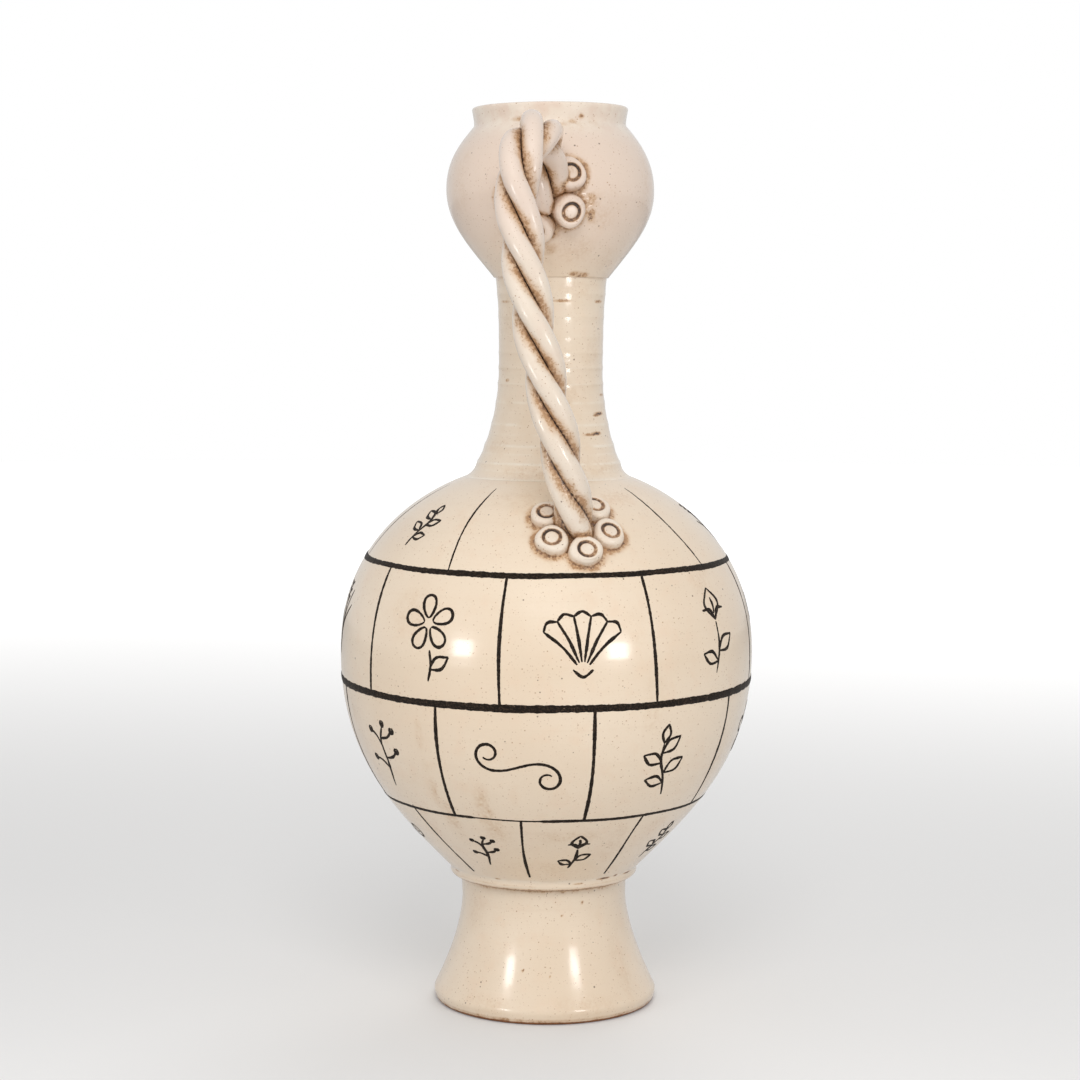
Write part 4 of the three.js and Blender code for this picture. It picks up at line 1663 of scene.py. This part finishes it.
@dataclass(frozen=True)
class Motif:
    """One motif's brush lines, in millimetres about its middle, about 20 wide and 26 high."""

    kind: MotifKind

    def lines(self) -> list[Points]:
        """The motif's lines."""
        makers = (
            self.blossom, self.leaf_spray, self.bud, self.berry_twig, self.scroll, self.shell, self.reeds,
        )
        return dict(zip(MotifKind, makers))[self.kind]()

    def blossom(self) -> list[Points]:
        """Five petals on a stalk with a leaf."""
        t = np.linspace(0, TAU, 30)
        aside = 2.9 * np.sin(t) * (0.75 - 0.25 * np.cos(t))
        petal = np.stack([aside, 1.7 + 3.5 * (1 - np.cos(t))], 1)
        heart = np.array([0, 4.6])
        lines = [turned_by(petal, 72 * i) + heart for i in range(5)]
        return [*lines, bowed((0.4, -3.6), (-0.8, -13), 0.08), *leaf((-0.1, -9.5), (7.0, -6.0))]

    def leaf_spray(self) -> list[Points]:
        """Leaves in turn up a bent stem."""
        stem = through([(-2.5, -13), (-1.2, -6), (1.0, 1), (0.6, 7)])
        lines = [stem, *leaf((0.6, 7), (-0.8, 13.5))]
        for low, tip in (
            ((-1.6, -8), (6.0, -5.5)), ((-0.7, -4), (-8.2, 0.5)),
            ((0.6, 0), (8.0, 4.0)), ((1.0, 3.5), (-6.0, 8.5)),
        ):
            lines += leaf(low, tip)
        return lines

    def bud(self) -> list[Points]:
        """A closed bud on a stem with two leaves."""
        lines = [through([(1.8, -13), (-0.2, -5), (0, 2.5)]), *leaf((0, 3), (0.6, 13), 0.36)]
        lines += [bowed((0, 3), (-5.4, 6.4), -0.3), bowed((0, 3), (5.6, 6.2), 0.3)]
        lines += [bowed((0.1, 5), (0.4, 10), 0.1)]
        return [*lines, *leaf((0.2, -6.5), (-7.5, -2.0)), *leaf((0.8, -9.5), (8.0, -6.6))]

    def berry_twig(self) -> list[Points]:
        """A forked twig with a round berry at each tip."""
        lines = [through([(0.8, -13), (-0.6, -4), (0.2, 4), (-1.6, 9)])]
        t = np.linspace(0, TAU, 16)
        circle = np.stack([np.sin(t), np.cos(t)], 1)
        for low, tip in (
            ((-0.6, -6), (6.4, -2.8)), ((-0.5, -2), (-7.0, 1.5)),
            ((0, 2), (5.4, 7.4)), ((-0.2, 5), (-6.6, 8.6)),
        ):
            lines += [bowed(low, tip, 0.12), circle * 0.92 + tip, circle * 0.345 + tip]
        return [*lines, circle * 0.92 + (-1.9, 10.4), circle * 0.345 + (-1.9, 10.4)]

    def scroll(self) -> list[Points]:
        """A flat double scroll, whose bend tightens steadily to both ends."""
        s = np.linspace(-1, 1, 160)
        heading = 7.4 * s * s
        path = np.stack([np.cumsum(np.cos(heading)), np.cumsum(np.sin(heading))], 1)
        path -= path[80]
        path = turned_by(path, -math.degrees(math.atan2(path[112, 1], path[112, 0])))
        return [path * 14.0 / np.abs(path[:, 0]).max()]

    def shell(self) -> list[Points]:
        """A fan with a scalloped edge."""
        root = np.array((0, -8.5))
        tips = [turned_by(np.array([[0, 17.0]]), a)[0] + root for a in np.linspace(-46, 46, 6)]
        lines = []
        for i, tip in enumerate(tips):
            lines.append(bowed(root + (tip - root) * 0.16, tip, 0.05 * (2.5 - i) / 2.5))
        lines += [bowed(b, a, 0.28) for a, b in zip(tips, tips[1:])]
        return [*lines, bowed((-3.2, -8.2), (3.2, -8.2), -0.35)]

    def reeds(self) -> list[Points]:
        """Blades of grass with a seed head."""
        stem = through([(0, -12.5), (0.5, -4), (1.4, 4), (3.0, 12)])
        lines = [stem, bowed((-0.2, -12), (-7.0, 5.5), -0.16), bowed((0.3, -12), (8.2, 1.0), 0.2)]
        lines += [bowed((-0.1, -11), (-4.4, 10), -0.1)]
        for z in (4.0, 6.4, 8.8):
            x = float(np.interp(z, stem[:, 1], stem[:, 0]))
            lines += [bowed((x, z), (x + 3.0, z + 2.6), 0.2), bowed((x, z), (x - 2.2, z + 3.0), -0.2)]
        return lines


@dataclass(frozen=True)
class Band:
    """A brushed band round the ball, a little lower at the front."""

    height: float
    front_drop: float
    half_width: float
    worn_from: float = 0.0
    worn_to: float = 0.0

    def at(self, degrees: np.ndarray) -> np.ndarray:
        """The band's height at azimuths."""
        a = np.radians(degrees)
        waver = 0.14 * np.sin(3 * a + self.height) + 0.08 * np.sin(11 * a)
        return self.height - self.front_drop * np.cos(a) + waver


@dataclass(frozen=True)
class PanelRow:
    """One row of panels: its uprights, as azimuths at the top and the bottom, and its motifs.

    A motif is an azimuth, a height and its kind's place in the list of kinds.
    """

    half_width: float
    scale: float
    uprights: tuple
    motifs: tuple


@dataclass
class BrushWork:
    """The drawing in iron-black slip: bands, panels and motifs."""

    wall: Wall
    ball: BallShape = BallShape()
    bands: tuple = (
        Band(181.6, 1.3, 1.2),
        Band(133.2, 2.0, 1.5),
        Band(86.3, 0.8, 0.78, -24.0, -2.0),
    )
    rows: tuple = (
        PanelRow(
            0.46, 0.9,
            ((-76.2, -79.6), (-30.2, -30.8), (48.0, 55.9), (128, 126), (205, 208)),
            ((-51.5, 196.5, 1), (86, 196, 6), (166, 196, 4), (243, 196, 2)),
        ),
        PanelRow(
            0.72, 1.27,
            ((-101, -101.5), (-55.0, -55.0), (-11.7, -12.2), (28.9, 30.5), (76, 77), (120, 120.5),
             (165, 164), (210, 211)),
            ((-33.0, 156.0, 0), (9.5, 156.0, 5), (53.5, 157.5, 2), (97, 157, 4), (142, 156, 1),
             (188, 157, 3), (234, 157, 6), (-79.5, 158.0, 6)),
        ),
        PanelRow(
            0.76, 1.2,
            ((-74, -75), (-30.5, -32.0), (12.7, 13.3), (59.6, 62.0), (106, 106), (151, 150),
             (196, 197), (241, 241)),
            ((-54.0, 108.5, 3), (-8.3, 108.0, 4), (35.5, 108.0, 1), (83, 108, 0), (128, 108, 2),
             (173, 108, 6), (218, 108, 5), (264, 108, 0)),
        ),
        PanelRow(
            0.58, 0.8,
            ((-99, -98), (-51.7, -42.7), (-8.1, -7.6), (36.0, 36.0), (81, 80), (126, 127),
             (171, 170), (216, 217)),
            ((-26.0, 70.5, 3), (14.0, 70.5, 2), (58.5, 71, 1), (103, 71, 5), (148, 71, 0),
             (193, 71, 6), (238, 71, 1), (-75, 71, 4)),
        ),
    )
    top_gap: float = 2.8
    bottom_gap: float = 6.8
    half_width: float = 0.66
    step: float = 0.5
    flatness: float = 0.15
    raggedness: float = 0.7
    grain: float = 1.7
    spread: float = 0.22
    bow: float = 0.9
    sway: float = 0.3
    size_range: tuple = (0.94, 1.05)
    most_tilt: float = 7.0
    seed: int = 11

    def __post_init__(self) -> None:
        """Starts the hand's luck."""
        self.luck = np.random.default_rng(self.seed)

    def gathered(self, name: str, strokes: list, tree: Tree, finish: Material) -> None:
        """Lays strokes as one piece.

        Args:
            name: The piece's name.
            strokes: For each stroke its azimuths in radians, its heights, its half widths and
                whether it closes on itself.
            tree: The brush's tree.
            finish: The slip.
        """
        places, normals, widths, edges = [], [], [], []
        count = 0
        for azimuth, z, half_width, closed in strokes:
            places.append(self.wall.place(azimuth, z))
            normals.append(self.wall.normal(azimuth, z))
            widths.append(np.broadcast_to(half_width, azimuth.shape))
            size = len(azimuth)
            edges += [(count + i, count + i + 1) for i in range(size - 1)]
            if closed:
                edges.append((count + size - 1, count))
            count += size
        piece = new_piece(name, np.vstack(places), [], edges)
        put_number(piece, "wall_normal", np.vstack(normals))
        put_number(piece, "half_width", np.concatenate(widths) * MM)
        values = {
            "Step": self.step * MM, "Flatness": self.flatness, "Raggedness": self.raggedness,
            "Grain": self.grain * MM, "Spread": self.spread * MM, "Seed": float(len(strokes)),
            "Finish": finish,
        }
        grow(piece, tree, values)
        carry(piece, Slot.INK)

    def tapered(self, count: int, half_width: float, thin: float = 0.35) -> np.ndarray:
        """Half widths along a stroke that starts and ends thin.

        Args:
            count: How many points the stroke has.
            half_width: Its half width in millimetres where it is full.
            thin: The share of that at its ends.

        Returns:
            The half widths, which waver as the hand does.
        """
        share = np.linspace(0, 1, count)
        belly = np.sin(np.pi * share) ** 0.45
        wave = 1 + 0.13 * np.sin(share * 9 + self.luck.uniform(0, TAU))
        return half_width * (thin + (1 - thin) * belly) * wave

    def band_strokes(self) -> list:
        """The bands as closed strokes, with a worn stretch drawn thin."""
        strokes = []
        for band in self.bands:
            degrees = np.arange(-180, 180, 0.5)
            half_width = band.half_width * (1 + 0.07 * np.sin(np.radians(degrees * 5 + band.height)))
            if band.worn_to > band.worn_from:
                faded = smooth_step(degrees, band.worn_from - 2, band.worn_from)
                faded -= smooth_step(degrees, band.worn_to, band.worn_to + 2)
                half_width = half_width * (1 - 0.5 * faded)
            strokes.append((np.radians(degrees), band.at(degrees), half_width, True))
        return strokes

    def upright_strokes(self) -> list:
        """The lines between the panels, from band to band."""
        strokes = []
        share = np.linspace(0, 1, 60)
        for number, row in enumerate(self.rows):
            first, last = number == 0, number == len(self.rows) - 1
            for top_degrees, low_degrees in row.uprights:
                top, low = self.ball.seam - self.top_gap, self.ball.base_height + self.bottom_gap
                if not first:
                    top = self.bands[number - 1].at(top_degrees)
                if not last:
                    low = self.bands[number].at(low_degrees)
                bend = self.luck.uniform(-self.bow, self.bow) * np.sin(np.pi * share)
                bend += self.luck.uniform(-self.sway, self.sway) * np.sin(TAU * share)
                azimuth = np.radians(top_degrees + (low_degrees - top_degrees) * share + bend)
                widths = self.tapered(len(share), row.half_width, 0.35 if first else 0.75)
                strokes.append((azimuth, top + (low - top) * share, widths, False))
        return strokes

    def motif_strokes(self) -> list:
        """The motifs, each laid on the wall about its middle."""
        kinds = list(MotifKind)
        strokes = []
        for row in self.rows:
            for degrees, height, kind in row.motifs:
                size = row.scale * self.luck.uniform(*self.size_range)
                tilt = self.luck.uniform(-self.most_tilt, self.most_tilt)
                flip = self.luck.choice([-1, 1])
                for line in Motif(kinds[kind]).lines():
                    flat = turned_by(line * (flip, 1), tilt) * size
                    z = self.wall.climb(height, flat[:, 1])
                    azimuth = math.radians(degrees) + flat[:, 0] / self.wall.radius(z)
                    widths = self.tapered(len(line), self.half_width, 0.45)
                    strokes.append((azimuth, z, widths, False))
        return strokes

    def build(self, finish: Material) -> None:
        """Brushes the whole drawing."""
        tree = brush_tree()
        self.gathered("brushed_bands", self.band_strokes(), tree, finish)
        self.gathered("brushed_uprights", self.upright_strokes(), tree, finish)
        self.gathered("brushed_motifs", self.motif_strokes(), tree, finish)


@dataclass(frozen=True)
class Lamp:
    """A soft box: its place and its size in metres, and its power in watts."""

    name: str
    place: tuple
    power: float
    wide: float
    tall: float
    in_gloss: bool = True


@dataclass(frozen=True)
class Studio:
    """The pale floor, the soft light and the camera."""

    lamps: tuple = (
        Lamp("left_soft_box", (-0.303, -0.333, 0.188), 0.19, 0.08, 0.068),
        Lamp("right_soft_box", (0.260, -0.357, 0.187), 0.19, 0.08, 0.068),
        Lamp("high_soft_box", (0.0, -0.8, 0.76), 3.6, 0.4, 0.4, False),
        Lamp("back_soft_box", (0.3, 1.1, 1.0), 5.0, 0.7, 0.7, False),
    )
    aim: tuple = (0.0, 0.0, 0.17)
    fill: float = 0.6
    seen_in_gloss: float = 0.3
    floor_radius: float = 4.0
    floor_colour: tuple = (0.70, 0.695, 0.69, 1)
    floor_glow_near: float = 0.1
    floor_glow_far: float = 0.85
    glow_starts: float = 0.25
    glow_ends: float = 2.3
    lens: float = 82.17
    sensor: float = 36.0
    camera_place: tuple = (-0.0028, -0.9909, 0.2734)
    camera_pitch: float = 4.96
    camera_roll: float = 0.00524

    def build_floor(self) -> None:
        """A plain pale floor that runs out into the white behind the bottle."""
        bench = FinishBench("pale floor")
        distance = bench.put("ShaderNodeVectorMath", {0: bench.place}, operation="LENGTH").outputs[1]
        gain = self.floor_glow_far - self.floor_glow_near
        rise = bench.eased(distance, self.glow_starts, self.glow_ends, gain)
        glow = bench.math("ADD", rise, self.floor_glow_near)
        seen = bench.put("ShaderNodeLightPath", {}).outputs["Is Camera Ray"]
        finish = bench.finished({
            "Base Color": self.floor_colour,
            "Roughness": 0.85,
            "Specular IOR Level": 0.2,
            "Emission Color": (1, 1, 1, 1),
            "Emission Strength": bench.times(glow, seen),
        })
        angle = np.linspace(0, TAU, 96, endpoint=False)
        rim = np.stack([np.cos(angle), np.sin(angle), 0 * angle], 1) * self.floor_radius / MM
        floor = new_piece("floor", rim, [tuple(range(len(angle)))])
        floor.data.materials.append(finish)

    def build_world(self) -> None:
        """White behind the bottle and in its gloss, and a softer fill for its shaded sides."""
        world = bpy.data.worlds.new("studio")
        world.use_nodes = True
        bench = NodeBench(world.node_tree)
        ray = bench.put("ShaderNodeLightPath", {}).outputs
        seen = bench.math("MAXIMUM", ray["Is Camera Ray"], ray["Is Transmission Ray"])
        seen = bench.math("MAXIMUM", seen, bench.times(ray["Is Glossy Ray"], self.seen_in_gloss))
        strength = bench.added(seen, 1.0 - self.fill, self.fill)
        sky = bench.put("ShaderNodeBackground", {"Color": (1, 1, 1, 1), "Strength": strength})
        bench.put("ShaderNodeOutputWorld", {0: sky.outputs[0]})
        bpy.context.scene.world = world

    def build_lamps(self) -> None:
        """The soft boxes, turned towards the bottle and out of the camera's sight."""
        for lamp in self.lamps:
            light = bpy.data.lights.new(lamp.name, "AREA")
            light.shape = "RECTANGLE"
            light.size, light.size_y = lamp.wide, lamp.tall
            light.energy = lamp.power
            holder = bpy.data.objects.new(lamp.name, light)
            holder.location = lamp.place
            towards = Vector(self.aim) - Vector(lamp.place)
            holder.rotation_euler = towards.to_track_quat("-Z", "Y").to_euler()
            holder.visible_camera = False
            holder.visible_glossy = lamp.in_gloss
            bpy.context.scene.collection.objects.link(holder)

    def build_camera(self) -> None:
        """The camera at the photograph's viewing angle."""
        camera = bpy.data.objects.new("camera", bpy.data.cameras.new("camera"))
        camera.data.sensor_width = self.sensor
        camera.data.lens = self.lens
        pitch = math.radians(self.camera_pitch)
        forward = Vector((0, math.cos(pitch), -math.sin(pitch)))
        right = Vector((1, 0, 0))
        right = (right + right.cross(forward) * self.camera_roll).normalized()
        up = right.cross(forward)
        place = Matrix((right, up, -forward)).transposed().to_4x4()
        place.translation = Vector(self.camera_place)
        camera.matrix_world = place
        bpy.context.scene.collection.objects.link(camera)
        bpy.context.scene.camera = camera

    def build(self) -> None:
        """Sets the whole stage."""
        self.build_floor()
        self.build_world()
        self.build_lamps()
        self.build_camera()
        bpy.context.scene.view_settings.view_transform = "Standard"


def main() -> None:
    """Builds the bottle, its drawing and the studio, and reports each piece."""
    logging.basicConfig(level=logging.INFO, format="%(name)s: %(message)s")
    foot, ball, mouth = FootShape(), BallShape(), MouthShape()
    neck = NeckShape(base=ball.shoulder_radius(ball.seam) - ball.neck_step)
    outline = [foot.outside()[:-1], ball.lower_outside(), ball.upper_outside()[1:]]
    outline += [neck.outside()[1:], mouth.outside()]
    wall = Wall(np.vstack(outline))
    rope = RopeShape(ball, mouth)
    courses = rope.courses()

    def seat_on(radius: float, z: float, side: float, out_part: float, up_part: float) -> tuple:
        """A flower's place on a wall.

        Args:
            radius: The wall's radius there.
            z: The flower's height.
            side: How far it stands to the right.
            out_part: The outward part of the wall's direction.
            up_part: The upward part of it.

        Returns:
            The flower's middle, and the wall's direction outwards.
        """
        azimuth = math.asin(side / radius)
        out = np.array([math.sin(azimuth), -math.cos(azimuth), 0])
        outward = out * out_part + np.array([0, 0, up_part])
        return out * radius + np.array([0, 0, z]), outward / np.linalg.norm(outward)

    low_z, high_z = rope.low_seat, rope.high_seat
    slope = ball.shoulder_normal(low_z)
    low = seat_on(ball.shoulder_radius(low_z), low_z, rope.low_seat_side, *slope)
    high = seat_on(mouth.bulb, high_z - 0.7, rope.high_seat_side + 0.4, 1.0, 0.0)
    low_shape = FlowerShape("shoulder_boss", ring=12.3, tilt=12, turn=148, gap=100)
    high_shape = FlowerShape(
        "mouth_boss", ring=13.2, tilt=26, turn=40, gap=69, pressed_in=(0.0, 0.0, 0.0, 0.4, 1.8),
    )
    low_flower = Flower(low_shape, wall, *low, seed=5)
    high_flower = Flower(high_shape, wall, *high, seed=8)
    bosses = low_flower.stands() + high_flower.stands()

    white = GlazeFinish("white glaze").make()
    rolled = GlazeFinish(
        "rope glaze", (0.83, 0.72, 0.60, 1), (0.76, 0.63, 0.50, 1), (0.79, 0.63, 0.51, 1),
        roughness=0.4, coat=0.9, coat_roughness=0.19,
    )
    stamped = replace(rolled, name="boss glaze", roughness=0.45, coat=0.65, coat_roughness=0.22)
    rope_glaze, boss_glaze = rolled.make(), stamped.make()
    slip = InkFinish("iron slip").make()

    pressed = courses + bosses
    Foot("glazed_foot", ("foot",), wall, shape=foot).build(white)
    LowerBall("glazed_lower_body", ("lower_body",), wall, shape=ball).build(white)
    UpperBall("glazed_upper_body", ("upper_body",), wall, shape=ball).build(white, pressed)
    Neck("glazed_neck", ("neck",), wall, shape=neck).build(white)
    Mouth("glazed_mouth", ("garlic_mouth",), wall, shape=mouth).build(white, pressed)
    RopeHandle(rope, wall).build(rope_glaze, courses, bosses)
    low_flower.build(boss_glaze, courses)
    high_flower.build(boss_glaze, courses)
    BrushWork(wall, ball).build(slip)
    Studio().build()


if __name__ == "__main__":
    main()
